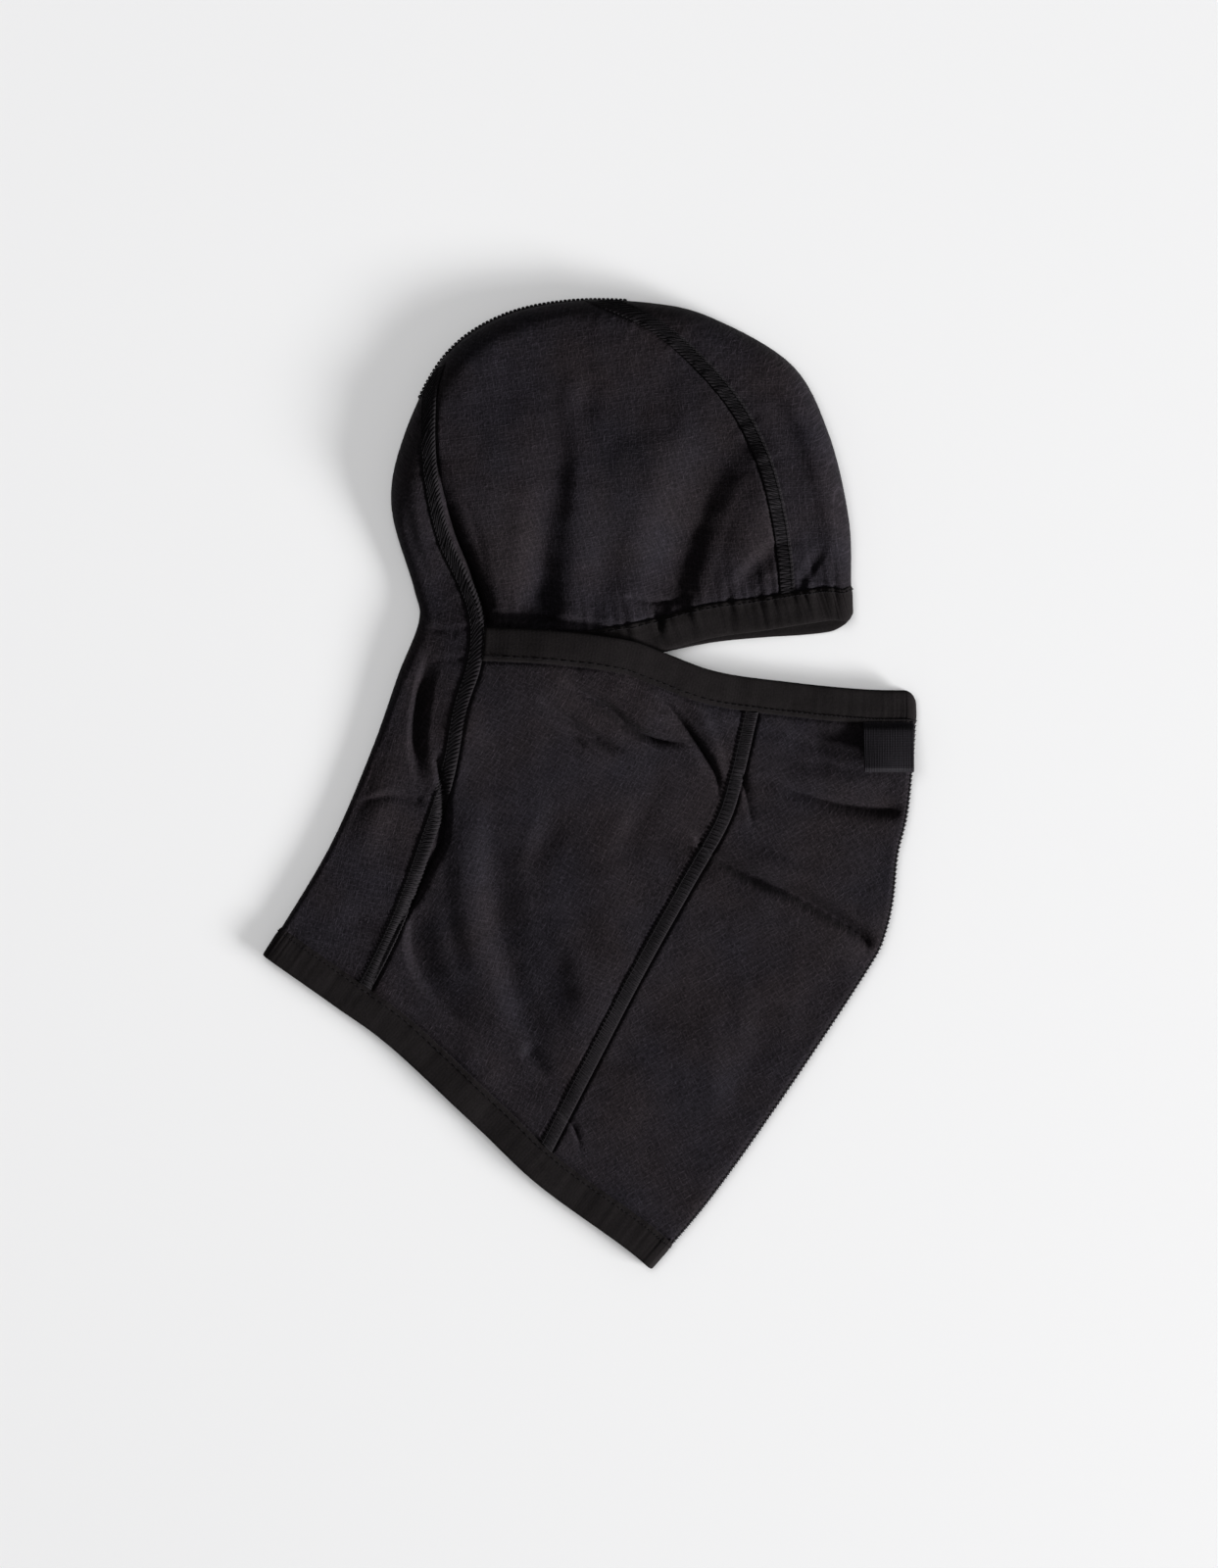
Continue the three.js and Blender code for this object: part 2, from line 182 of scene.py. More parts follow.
BACK_FOLD = line([(-159.5, -84), (-128, -32), (-107, 16), (-93.5, 54), (-83.5, 80), (-86, 96), (-97, 136),
                  (-91, 170), (-72, 208), (-45, 228), (-10, 236), (30, 235), (60, 227.5), (98, 205),
                  (116, 172), (126, 130), (127.2, 96), (127.4, 79)], 420)
FRONT_FOLD = line([(157.5, 46), (158.4, 28), (155, -12), (150, -34), (147.7, -56), (143.5, -74),
                   (135.5, -90), (97, -148), (58.5, -202), (29, -236.5)], 300)
HEM_EDGE = line([(-159.5, -84), (-124, -109), (-98, -128), (-56, -167), (-25, -196), (15, -225),
                 (29, -236.5)])
MASK_EDGE = line([(-60, 77), (-18, 75), (17.5, 70.5), (35, 64.6), (62, 55), (97, 50), (133, 46.5),
                  (157.5, 46)])
BROW_EDGE = {
    UPPER: line([(-62, 59), (-20, 57), (10, 60), (35, 65), (60, 71.5), (85, 75), (103, 77.8), (120, 80.2),
                 (127.4, 79.5)]),
    LOWER: line([(-62, 59), (-20, 57), (10, 60), (35, 64.5), (60, 69.5), (85, 72), (104, 73.2), (119, 75.2),
                 (127.4, 79.5)])}
REAR_SEAM = line([(-122, -120), (-97, -72), (-79, -24), (-70, 5), (-63.5, 38), (-57, 58), (-55.5, 78),
                  (-61, 97), (-71, 118), (-77, 144), (-79, 168), (-78, 192), (-74, 206)])
CROWN_FRONT_SEAM = line([(97, 84), (95, 110), (91, 134), (84, 159), (71, 184), (50, 208), (27, 226),
                         (0, 238)])
CHIN_SEAM = line([(81, 46), (77, 30), (71, 4), (64, -18), (47, -48), (23, -91), (-1, -137), (-32, -197)])

HEM_INNER = extend(offset(HEM_EDGE, BAND_WIDTH))
MASK_INNER = extend(offset(MASK_EDGE, -BAND_WIDTH))
BROW_INNER = {side: extend(offset(edge, BAND_WIDTH)) for side, edge in BROW_EDGE.items()}
HEM_CUT = extend(offset(HEM_EDGE, BAND_WIDTH - SEAM_COVER))
MASK_CUT = extend(offset(MASK_EDGE, SEAM_COVER - BAND_WIDTH))
BROW_CUT = {side: extend(offset(edge, BAND_WIDTH - SEAM_COVER)) for side, edge in BROW_EDGE.items()}


# ------------------------------------------------------------------ the height of the cloth

def nearest(path, xy):
    """Distance, place from 0 to 1 and side (positive to the left) of points against a line."""
    a, d = path[:-1], np.diff(path, axis=0)
    best = np.full(len(xy), np.inf)
    where, hand = np.zeros(len(xy)), np.zeros(len(xy))
    size = (d * d).sum(1)
    for k in range(len(a)):
        rel = xy - a[k]
        t = np.clip(rel @ d[k] / size[k], 0, 1)
        gap = rel - t[:, None] * d[k]
        dist = np.hypot(gap[:, 0], gap[:, 1])
        closer = dist < best
        best = np.where(closer, dist, best)
        where = np.where(closer, (k + t) / len(a), where)
        hand = np.where(closer, np.sign(d[k, 0] * rel[:, 1] - d[k, 1] * rel[:, 0]), hand)
    return best, where, hand


FOLDS_COARSE = {"back": spaced(BACK_FOLD, 110), "front": spaced(FRONT_FOLD, 80)}


def step(x, low, high):
    t = np.clip((x - low) / (high - low), 0, 1)
    return t * t * (3 - 2 * t)


def above_mask(xy):
    return xy[:, 1] - np.interp(xy[:, 0], MASK_EDGE[:, 0], MASK_EDGE[:, 1])


def neck_level(xy):
    swell = np.exp(-((xy[:, 0] + 15) / 70)**2 - ((xy[:, 1] - 62) / 50)**2)
    return LOWER_LEVEL + CHEST_LOFT + (COLLAR_LOFT - CHEST_LOFT) * swell


def open_level(part, side, xy):
    """Height of a layer away from the folded edges. The hood's lower edge is tucked inside the neck."""
    above = above_mask(xy)
    if side == LOWER:
        tucked = 1 - step(above, 4, 18)
        return LOWER_LEVEL + (TUCK_STEP * tucked if part == "hood" else 0)
    if part == "neck":
        return neck_level(xy)
    hood = LOWER_LEVEL + BROW_LOFT + (HOOD_LOFT - BROW_LOFT) * step(xy[:, 1], 90, 150)
    free = step(above, 2, 28)
    low = neck_level(xy) - (TUCK_STEP if part == "hood" else 0)
    return low + (hood - low) * free


STROKES = []
NARROWEST_CREASE = 2.6    # a sharper one would fall between the mesh's points


def stroke(parts, points, heights, left, right, sharp=False):
    """A ridge (positive) or valley (negative) in the upper layer along a line. heights run along the line,
    and left and right say how wide each side of it is. A sharp one has a crease along its middle."""
    if sharp:
        left, right = max(left, NARROWEST_CREASE), max(right, NARROWEST_CREASE)
    STROKES.append((parts.split(), line(points, 28), np.atleast_1d(heights), left, right, sharp))


def raised(part, xy):
    """The sum of the strokes on a part."""
    total = np.zeros(len(xy))
    for parts, path, heights, left, right, sharp in STROKES:
        if part not in parts:
            continue
        reach = max(left, right)
        low, high = path.min(0) - reach, path.max(0) + reach
        near = np.flatnonzero(((xy > low) & (xy < high)).all(1))
        if not len(near):
            continue
        dist, where, hand = nearest(path, xy[near])
        t = np.clip(dist / np.where(hand >= 0, left, right), 0, 1)
        fall = (1 - t)**2 if sharp else (1 - t)**2 * (1 + 2 * t)
        total[near] += fall * np.interp(where, np.linspace(0, 1, len(heights)), heights)
    return total


def waves(xy, seed, count, shortest, longest, height):
    """A gentle unevenness: plane waves in many directions."""
    rng = np.random.default_rng(seed)
    total = np.zeros(len(xy))
    for _ in range(count):
        turn, phase = rng.uniform(0, math.pi), rng.uniform(0, 2 * math.pi)
        size = rng.uniform(shortest, longest)
        run = xy @ np.array([math.cos(turn), math.sin(turn)]) * 2 * math.pi / size
        total += np.sin(run + phase) * (size / longest)
    return total * height / math.sqrt(count)


def puckers(path, xy, seed, height, reach, length):
    """Small gathers that start at a seam or band and fade away from it."""
    low, high = path.min(0) - 3 * reach, path.max(0) + 3 * reach
    near = np.flatnonzero(((xy > low) & (xy < high)).all(1))
    total = np.zeros(len(xy))
    if len(near):
        dist, where, _ = nearest(path, xy[near])
        rng = np.random.default_rng(seed)
        run = where * np.linalg.norm(np.diff(path, axis=0), axis=1).sum()
        wave = sum(np.sin(run * 2 * math.pi / (length * f) + rng.uniform(0, 6.3))
                   for f in (0.8, 1.13, 1.7, 2.6))
        total[near] = wave * height * np.exp(-dist / reach) * 0.5
    return total


SEAM_LINES = [spaced(p, 60) for p in (REAR_SEAM, CROWN_FRONT_SEAM, CHIN_SEAM)]
BROW_TOP = {side: spaced(edge, 60) for side, edge in BROW_INNER.items()}
# line, half its width, and how deep the panel dips to the left and right of it
SEWN_OVER = [(SEAM_LINES[0], 3.75, 0.2, 1.4), (SEAM_LINES[1], 3.75, 1.2, 0.2),
             (SEAM_LINES[2], 3.75, 1.1, 0.25),
             (spaced(HEM_INNER, 60), 0.2, 0.8, 0.8), (spaced(MASK_INNER, 60), 0.2, 0.8, 0.8),
             (spaced(BROW_INNER[UPPER], 60), 0.2, 0.6, 0.6)]


def cloth_level(part, side, xy):
    """Height of the middle of the cloth at plan points."""
    level = open_level(part, side, xy)
    fold = nearest(FOLDS_COARSE["back"], xy)[0]
    if part == "neck":
        fold = np.minimum(fold, nearest(FOLDS_COARSE["front"], xy)[0])
    clear = step(fold, 0, FOLD_CALM)
    if side == UPPER:
        level = level + raised(part, xy) * clear
        level = level + waves(xy, 5, 16, 26, 70, 0.6) * clear + waves(xy, 8, 22, 9, 20, 0.2) * clear
        for k, path in enumerate(SEAM_LINES):
            level = level + puckers(path, xy, 20 + k, 0.35, 7, 7) * clear
        if part == "hood":
            level = level + puckers(BROW_TOP[UPPER], xy, 31, 0.6, 9, 6.5) * clear
        level = np.maximum(level, LOWER_LEVEL + LAYER_GAP)
    else:
        level = level + np.abs(waves(xy, 9, 16, 18, 60, 0.35)) * clear
    rise = level - FOLD_LEVEL
    radius = np.maximum(FOLD_RISE, 0.9 * rise) if side == UPPER else np.full(len(xy), FOLD_RISE)
    inward = np.clip(fold / radius, 0, 1)
    return FOLD_LEVEL + rise * np.sqrt(1 - (1 - inward)**2)


def cloth_point(part, side, xy):
    return np.column_stack([xy, cloth_level(part, side, xy)])


def sunk(xy):
    """How far the upper panels dip beside a seam or band that is sewn over them."""
    dip = np.zeros(len(xy))
    for path, half, to_left, to_right in SEWN_OVER:
        dist, _, hand = nearest(path, xy)
        depth = np.where(hand >= 0, to_left, to_right)
        dip = np.maximum(dip, depth * np.exp(-(np.maximum(dist - half, 0) / GROOVE)**2))
    return dip


def panel_point(part, side, xy):
    point = cloth_point(part, side, xy)
    if side == UPPER:
        fold = nearest(FOLDS_COARSE["back"], xy)[0]
        point[:, 2] -= sunk(xy) * step(fold, 1, 7)
    return point


def both(part, lower, upper, turn, place=None):
    """Points on the lower layer where turn is negative, and on the upper one elsewhere."""
    place = place or cloth_point
    out = np.empty((len(turn), 3))
    for side, plan in ((LOWER, lower), (UPPER, upper)):
        here = turn < 0 if side == LOWER else turn >= 0
        if here.any():
            out[here] = place(part, side, plan[here])
    return out


# ------------------------------------------------------------------ the folds the cloth has taken

ALL_NECK = "neck back"

# hood, from the rear seam to the front
stroke("hood back", [(-75, 164), (-72, 145), (-66.5, 124), (-60, 108), (-55.5, 95), (-51.5, 80)],
       [-0.4, -2.2, -7.2, -9.6, -9.4, -6], 8, 2.6, sharp=True)
stroke("hood", [(-62, 150), (-52, 124), (-47, 104), (-43, 84)], [0, 0.8, 1.2, 0.8], 14, 5)
stroke("hood", [(-50, 200), (-46, 160), (-40, 125), (-36, 95)], [0.2, 0.4, 0.6, 0.4], 12, 16)
stroke("hood", [(-27, 213), (-18, 181), (-17, 150), (-22, 122), (-24, 100), (-24, 80)],
       [0, -0.6, -1.3, -3.0, -4.2, -3.8], 11, 15)
stroke("hood", [(-6, 205), (-5, 170), (-6, 130), (-8, 100), (-10, 80)], [0, 0.7, 1.4, 2.2, 1.4], 15, 9)
stroke("hood", [(4, 204), (-4, 182), (-4, 160)], [0, -1.7, 0], 12, 10)
stroke("hood", [(36, 190), (32, 150), (26, 115), (20, 92)], [0, 0.7, 1.3, 1.4], 16, 16)
stroke("hood", [(76, 172), (67, 159), (58, 144), (51, 125), (45, 106), (40, 91)],
       [-0.4, -2.8, -5.4, -7.0, -7.0, -3.2], 14, 30)
stroke("hood", [(88, 168), (84, 145), (78, 122), (71, 98)], [0.2, 1.2, 1.6, 0.8], 14, 12)
stroke("hood", [(70, 150), (64, 125), (58, 100)], [0, -1.0, -0.8], 8, 7)
stroke("hood", [(72, 97), (79, 106), (89, 115), (96, 119)], [-0.9, -3.0, -2.2, -0.4], 6, 9)
stroke("hood", [(113, 114), (108, 106), (103, 97)], [-0.6, -1.8, -0.9], 4, 6)
stroke("hood", [(85, 196), (98, 168), (104, 140)], [0, -1.2, 0], 8, 9)
stroke("hood", [(100, 188), (112, 160), (117, 132), (115, 105)], [0, 0.8, 1.0, 0.4], 8, 9)
stroke("hood", [(20, 91), (34, 89), (48, 92)], [-1.2, -2.4, -1], 3, 4, sharp=True)
stroke("hood", [(10, 150), (24, 160), (44, 158)], [0, 0.9, 0], 14, 14)

stroke("hood", [(-46, 83), (-18, 80), (15, 76.5), (38, 70)], [-2.2, -2.2, -0.6, -0.2], 3.4, 3)

# nape and back
stroke(ALL_NECK, [(-79, 62), (-84, 42), (-86, 20), (-83, 2)], [-0.6, -5.4, -5.4, -0.8], 8, 4)
stroke("back", [(-92, 142), (-89, 122), (-84, 104)], [-0.4, -3.2, -0.5], 7, 5)
stroke("back", [(-88, 87), (-75, 83)], [-1.4, -0.4], 2.4, 2.4, sharp=True)
stroke("back", [(-85, 78), (-66, 73)], [-1.8, -0.8], 2.6, 2.6, sharp=True)
stroke(ALL_NECK, [(-117, -10), (-98, -5), (-84, -7)], [-0.6, -2.6, -2], 3, 7, sharp=True)
stroke("back", [(-122, -48), (-106, -18), (-98, 20)], [0, 1.6, 0.4], 12, 12)
stroke("back", [(-128, -70), (-112, -66), (-98, -70)], [0, -0.9, 0], 9, 9)

# beside the rear seam, below the mask band
stroke(ALL_NECK, [(-75, 12), (-72, -6), (-73, -26), (-80, -42), (-87, -57)],
       [-1.5, -6.5, -6.5, -5, -3], 5.5, 3.5, sharp=True)
stroke(ALL_NECK, [(-87, -57), (-98, -78), (-108, -101)], [-3, -1.8, -1], 3, 2.4, sharp=True)
stroke("neck", [(-66, 60), (-62, 30), (-64, 0)], [0, 1.4, 0], 12, 8)

# side of the neck, running down from the collar
stroke("neck", [(-20, 32), (-8, 23), (5, 12)], [-0.4, -2.6, -0.3], 3.5, 5, sharp=True)
stroke("neck", [(-22, 40), (-15, 35), (5, 22), (17, 16)], [-0.8, -4.4, -4.8, -0.6], 4, 5.5, sharp=True)
stroke("neck", [(-12, 50), (8, 38), (18, 30), (30, 23), (46, 20)], [-1, -5.2, -7.5, -6.5, -0.8], 4, 6,
       sharp=True)
stroke("neck", [(-6, 56), (14, 45), (30, 35), (46, 29)], [0, 2.2, 2.6, 0], 8, 7)
stroke("neck", [(-18, 26), (0, 15), (14, 7)], [0, 1.5, 0], 7, 6)
stroke("neck", [(34, 42), (45, 30), (53, 19), (61, 6), (63, -4)], [-0.8, -5, -6.5, -5, -0.8], 4, 5.5,
       sharp=True)
stroke("neck", [(46, 44), (56, 30), (62, 14), (62, -6)], [0.3, 1.5, 1.2, 0], 5, 6)
stroke("neck", [(-46, -4), (-47, -31), (-45, -62), (-38, -93), (-29, -121), (-20, -140)],
       [-0.3, -2.0, -3.0, -3.0, -2.2, -0.3], 17, 11)
stroke("neck", [(-60, -10), (-62, -45), (-57, -80), (-46, -112)], [0.3, 2.2, 2.6, 0.5], 12, 11)
stroke("neck", [(-34, -72), (-20, -101), (-11, -122)], [-0.2, -1.4, -0.2], 11, 7)
stroke("neck", [(-18, -60), (-6, -92), (4, -120)], [0.2, 1.8, 0.3], 12, 10)
stroke(ALL_NECK, [(-86, -58), (-87, -80), (-80, -97), (-68, -110), (-57, -118)],
       [-1, -4.4, -4.8, -3.2, -0.4], 16, 5)
stroke("neck", [(-30, -132), (-20, -143)], [-2.4, -0.5], 7, 5)
stroke("neck", [(-2, -20), (10, -60), (-2, -100), (-18, -150)], [0, 1.5, 1.6, 0.2], 20, 18)
stroke("neck", [(-15, -160), (-8, -168), (-5, -178)], [-0.5, -2.2, -0.4], 4, 3, sharp=True)
stroke("neck", [(-74, -118), (-50, -142), (-28, -168)], [0.3, 1.4, 0.2], 12, 12)
stroke("neck", [(-10, 0), (-24, -30), (-30, -56)], [0, -1.6, 0], 13, 9)
stroke("neck", [(28, 6), (22, -20), (8, -44)], [0, -1.2, 0], 12, 9)

# chin
stroke("neck", [(53, -29), (65, -38), (80, -46), (95, -52), (110, -60), (128, -71), (136, -78)],
       [-4, -7, -7, -6.6, -6.6, -6, -3], 8, 3, sharp=True)
stroke("neck", [(50, -34), (63, -43), (78, -51), (93, -57), (108, -65), (126, -76), (133, -83)],
       [0.8, 2.8, 3.2, 3.2, 3.2, 2.8, 0.6], 4.2, 15)
stroke("neck", [(62, -27), (82, -36), (102, -44), (124, -60)], [0.3, 1.4, 1.5, 0.6], 7, 9)
stroke("neck", [(70, -60), (96, -68), (118, -84)], [0.2, 1.7, 0.2], 12, 10)
stroke("neck", [(84, 4), (100, -3), (113, -7), (126, -10), (141, -12), (156, -14)],
       [-0.6, -2.6, -4, -5, -5, -3], 9, 8, sharp=True)
stroke("neck", [(95, 6), (115, 3), (140, 0)], [0, 1.5, 0.8], 8, 6)
stroke("neck", [(96, 26), (112, 20), (130, 16)], [0, -2.2, -1.6], 6, 7)
stroke("neck", [(74, 4), (79, -20)], [-2.2, -0.6], 5, 3, sharp=True)
stroke("neck", [(46, -120), (60, -140), (58, -168)], [0, 1.2, 0.2], 14, 12)
stroke("neck", [(88, -90), (84, -120), (70, -150)], [0, -1.1, 0], 14, 12)


# ------------------------------------------------------------------ how pieces are made

def sheet_mesh(name, surface, columns, rows, grain=0.0, thickness=CLOTH):
    """A sheet of cloth from a flat grid whose points go where surface(u, v) puts them."""
    mesh = bpy.data.meshes.new(name)
    bm = bmesh.new()
    bmesh.ops.create_grid(bm, x_segments=columns, y_segments=rows, size=0.5)
    flat = np.array([v.co[:2] for v in bm.verts]) + 0.5
    placed = surface(flat[:, 0], flat[:, 1])
    for vert, point in zip(bm.verts, placed * MM):
        vert.co = point
    map_cloth(bm, grain)
    bmesh.ops.recalc_face_normals(bm, faces=bm.faces)
    bm.to_mesh(mesh)
    bm.free()
    return finish_piece(name, mesh, thickness)


def map_cloth(bm, grain):
    """The weave runs along the panel's grain, in metres, and leans with height so a wall isn't streaked."""
    layer = bm.loops.layers.uv.new("grain")
    cos, sin = math.cos(math.radians(grain)), math.sin(math.radians(grain))
    for face in bm.faces:
        for loop in face.loops:
            x, y, z = loop.vert.co
            loop[layer].uv = (cos * x + sin * y + 0.6 * z, -sin * x + cos * y + 0.6 * z)


def finish_piece(name, mesh, thickness=None):
    piece = bpy.data.objects.new(name, mesh)
    bpy.context.scene.collection.objects.link(piece)
    for face in mesh.polygons:
        face.use_smooth = True
    if thickness:
        wall = piece.modifiers.new("cloth", "SOLIDIFY")
        wall.thickness = thickness * MM
        wall.offset = 0.0
        wall.use_even_offset = False
    return piece


def normals_of(surface, u, v):
    """Unit normals of a surface, pointing out of the garment: up on the upper layer and down on the lower."""
    du = surface(np.clip(u + 0.002, 0, 1), v) - surface(np.clip(u - 0.002, 0, 1), v)
    dv = surface(u, np.clip(v + 0.02, 0, 1)) - surface(u, np.clip(v - 0.02, 0, 1))
    out = np.cross(du, dv)
    out /= np.maximum(np.linalg.norm(out, axis=1), 1e-9)[:, None]
    outward = (out[:, 2] * (surface(u, v)[:, 2] - FOLD_LEVEL)).sum()
    return out if outward > 0 else -out


def pressed(points, face=0.0):
    """The lower layer is pressed flat against the floor, so nothing sewn to it sinks below."""
    flat = 0.04 + face + 0.46 * np.exp((points[:, 2] - 0.5) / 0.46)
    points[:, 2] = np.where(points[:, 2] < 0.5, flat, points[:, 2])
    return points


def loop_mesh(name, surface, columns, section, relief=None, uv_size=(1.0, 1.0)):
    """A closed band or seam: a section, given as (across from 0 to 1, lift in mm) pairs, carried along u.
    relief(u, across, lift) adds a little more lift."""
    ring = np.array(section)
    count = len(ring)
    mesh = bpy.data.meshes.new(name)
    bm = bmesh.new()
    bmesh.ops.create_grid(bm, x_segments=columns, y_segments=count, size=0.5)
    flat = np.array([v.co[:2] for v in bm.verts]) + 0.5
    at = np.rint(flat[:, 1] * count).astype(int) % count
    u, across, lift = flat[:, 0], ring[at, 0], ring[at, 1]
    out = normals_of(surface, u, across)
    extra = relief(u, across, lift) if relief else 0.0
    placed = pressed(surface(u, across) + out * (lift + extra)[:, None])
    layer = bm.loops.layers.uv.new("grain")
    for face in bm.faces:
        for loop in face.loops:
            k = loop.vert.index
            loop[layer].uv = (u[k] * uv_size[0] * MM, flat[k, 1] * 2 * uv_size[1] * MM)
    for vert, point in zip(bm.verts, placed * MM):
        vert.co = point
    bmesh.ops.remove_doubles(bm, verts=bm.verts, dist=1e-6)
    bmesh.ops.holes_fill(bm, edges=[e for e in bm.edges if e.is_boundary], sides=0)
    bmesh.ops.recalc_face_normals(bm, faces=bm.faces)
    bm.to_mesh(mesh)
    bm.free()
    return finish_piece(name, mesh)


def thread_mesh(name, runs, radius=THREAD):
    """Thread laid along one or more runs of points, as a slim four-sided tube."""
    mesh = bpy.data.meshes.new(name)
    bm = bmesh.new()
    for run in runs:
        run = pressed(run, radius)
        count = len(run)
        way = ways(run)
        side = np.cross(way, [0, 0, 1.0])
        side /= np.maximum(np.linalg.norm(side, axis=1), 1e-6)[:, None]
        over = np.cross(side, way)
        start = len(bm.verts)
        bmesh.ops.create_grid(bm, x_segments=count - 1, y_segments=4, size=0.5)
        bm.verts.ensure_lookup_table()
        for vert in bm.verts[start:]:
            k = round((vert.co.x + 0.5) * (count - 1))
            turn = round((vert.co.y + 0.5) * 4) * math.pi / 2
            vert.co = (run[k] + radius * (side[k] * math.cos(turn) + over[k] * math.sin(turn))) * MM
    bmesh.ops.remove_doubles(bm, verts=bm.verts, dist=2e-6)
    bmesh.ops.holes_fill(bm, edges=[e for e in bm.edges if e.is_boundary], sides=0)
    bmesh.ops.recalc_face_normals(bm, faces=bm.faces)
    bm.to_mesh(mesh)
    bm.free()
    return finish_piece(name, mesh)


def length_of(surface, across=0.5):
    t = np.linspace(0, 1, 200)
    return np.linalg.norm(np.diff(surface(t, np.full(200, across)), axis=0), axis=1).sum()


# ------------------------------------------------------------------ surfaces

def packed(t):
    """Brings a grid's lines closer together at both sewn edges."""
    return t - 0.5 * np.sin(2 * math.pi * t) / (2 * math.pi)


def layer_surface(part, side, plan):
    return lambda u, v: panel_point(part, side, plan(packed(u), packed(v)))


def packed_end(t):
    """The same at the far edge only."""
    return t + 0.5 * np.sin(math.pi * t) / math.pi


def folded_surface(part, plan, packing=1.6):
    """u runs from the lower layer, round the fold, to the upper layer."""
    def surface(u, v):
        turn = 2 * u - 1
        flat = plan(packed_end(np.abs(turn)**packing), packed(v))
        return both(part, flat, flat, turn, panel_point)
    return surface


def two_faced_band(part, fold, edges, inners, end, corner):
    """A band that turns round a fold. Its two sides may have different edges. u runs as for a fold, and
    corner is the radius that its free edge is rounded off by at the fold."""
    plans = {side: patch(extend(fold), end, extend(edges[side]), inners[side]) for side in (UPPER, LOWER)}
    length = np.linalg.norm(np.diff(edges[UPPER], axis=0), axis=1).sum()

    def surface(u, v):
        turn = 2 * u - 1
        short = 1 - np.clip(turn * turn * length / corner, 0, 1)
        v = v + (1 - v) * corner / BAND_WIDTH * (1 - np.sqrt(1 - short * short))
        low, high = (plans[side](turn * turn, v) for side in (LOWER, UPPER))
        blend = step(np.abs(turn), 0.0, 0.25)[:, None]
        middle = (low + high) / 2
        return both(part, middle + (low - middle) * blend, middle + (high - middle) * blend, turn)
    return surface


def hem_surface():
    plan = patch(extend(BACK_FOLD), extend(FRONT_FOLD), HEM_EDGE, HEM_INNER)

    def surface(u, v):
        turn = 2 * math.pi * u
        flat = plan((1 - np.cos(turn)) / 2, v)
        return both("neck", flat, flat, np.where(u < 0.5, 1.0, -1.0))
    return surface


def inward_of(path):
    """Into the cloth, which lies to the right of both fold lines."""
    way = ways(path)
    return np.stack([way[:, 1], -way[:, 0]], axis=1)


def tabled(surface, columns, rows):
    """The same surface read from an even table of its points, which is much quicker to ask."""
    us, vs = np.meshgrid(np.linspace(0, 1, columns + 1), np.linspace(0, 1, rows + 1), indexing="ij")
    table = surface(us.ravel(), vs.ravel()).reshape(columns + 1, rows + 1, 3)

    def read(u, v):
        x, y = np.clip(u, 0, 1) * columns, np.clip(v, 0, 1) * rows
        i, j = np.minimum(x.astype(int), columns - 1), np.minimum(y.astype(int), rows - 1)
        s, t = (x - i)[:, None], (y - j)[:, None]
        return ((table[i, j] * (1 - s) + table[i + 1, j] * s) * (1 - t)
                + (table[i, j + 1] * (1 - s) + table[i + 1, j + 1] * s) * t)
    return read


def fold_surface(part, path, start, end, reach):
    """A strip that rides on a fold and reaches the same distance round it on both layers."""
    inward = inward_of(path)

    def surface(u, v):
        t = start + (end - start) * u
        place = np.clip(t, 0, 1) * (len(path) - 1)
        point = along(path, t)
        way = np.stack([np.interp(place, np.arange(len(path)), inward[:, k]) for k in range(2)], axis=1)
        turn = 2 * v - 1
        low, high = np.zeros(len(u)), np.full(len(u), reach * 1.2)
        for _ in range(14):
            inset = (low + high) / 2
            flat = point + way * inset[:, None]
            rise = both(part, flat, flat, turn)[:, 2] - FOLD_LEVEL
            short = np.hypot(inset, rise) < np.abs(turn) * reach
            low, high = np.where(short, inset, low), np.where(short, high, inset)
        inset = (low + high) / 2
        flat = point + way * inset[:, None]
        return both(part, flat, flat, turn)
    return surface


def seam_surface(part, side, path, start, end, half=SEAM_HALF):
    left, right = extend(offset(path, half)), extend(offset(path, -half))
    plan = patch(left, right, start, end)
    return lambda u, v: cloth_point(part, side, plan(v, u))


def tip_beside(path):
    """A short line square to the outer fold where a panel beside the seam has narrowed to nothing."""
    gap = np.array([np.linalg.norm(BACK_FOLD - p, axis=1).min() for p in path])
    last = np.flatnonzero(gap > SEAM_HALF + 1.2)[-1]
    foot = BACK_FOLD[np.linalg.norm(BACK_FOLD - path[last], axis=1).argmin()]
    way = (path[last] - foot) / np.linalg.norm(path[last] - foot)
    return np.stack([foot - way * 14, path[last] + way * 14])


NAPE_TIP, CROWN_TIP = tip_beside(REAR_SEAM), tip_beside(CROWN_FRONT_SEAM)
EDGE_OF = {"rear_back": extend(offset(REAR_SEAM, SEAM_HALF - SEAM_COVER)),
           "rear_front": extend(offset(REAR_SEAM, SEAM_COVER - SEAM_HALF)),
           "crown_rear": extend(offset(CROWN_FRONT_SEAM, SEAM_HALF - SEAM_COVER)),
           "crown_front": extend(offset(CROWN_FRONT_SEAM, SEAM_COVER - SEAM_HALF)),
           "chin_rear": extend(offset(CHIN_SEAM, SEAM_COVER - SEAM_HALF)),
           "chin_front": extend(offset(CHIN_SEAM, SEAM_HALF - SEAM_COVER))}
CROWN_RIM = extend(offset(BACK_FOLD, -0.15))
CROWN_EDGE = offset(BACK_FOLD, -0.5)
FRONT_RIM = extend(offset(FRONT_FOLD, -0.8))

HANDS = {"right": UPPER, "left": LOWER}
CELL = {UPPER: 0.95, LOWER: 3.2}


def cells(length, side=UPPER):
    return max(8, round(length / CELL[side]))


# ------------------------------------------------------------------ finishes

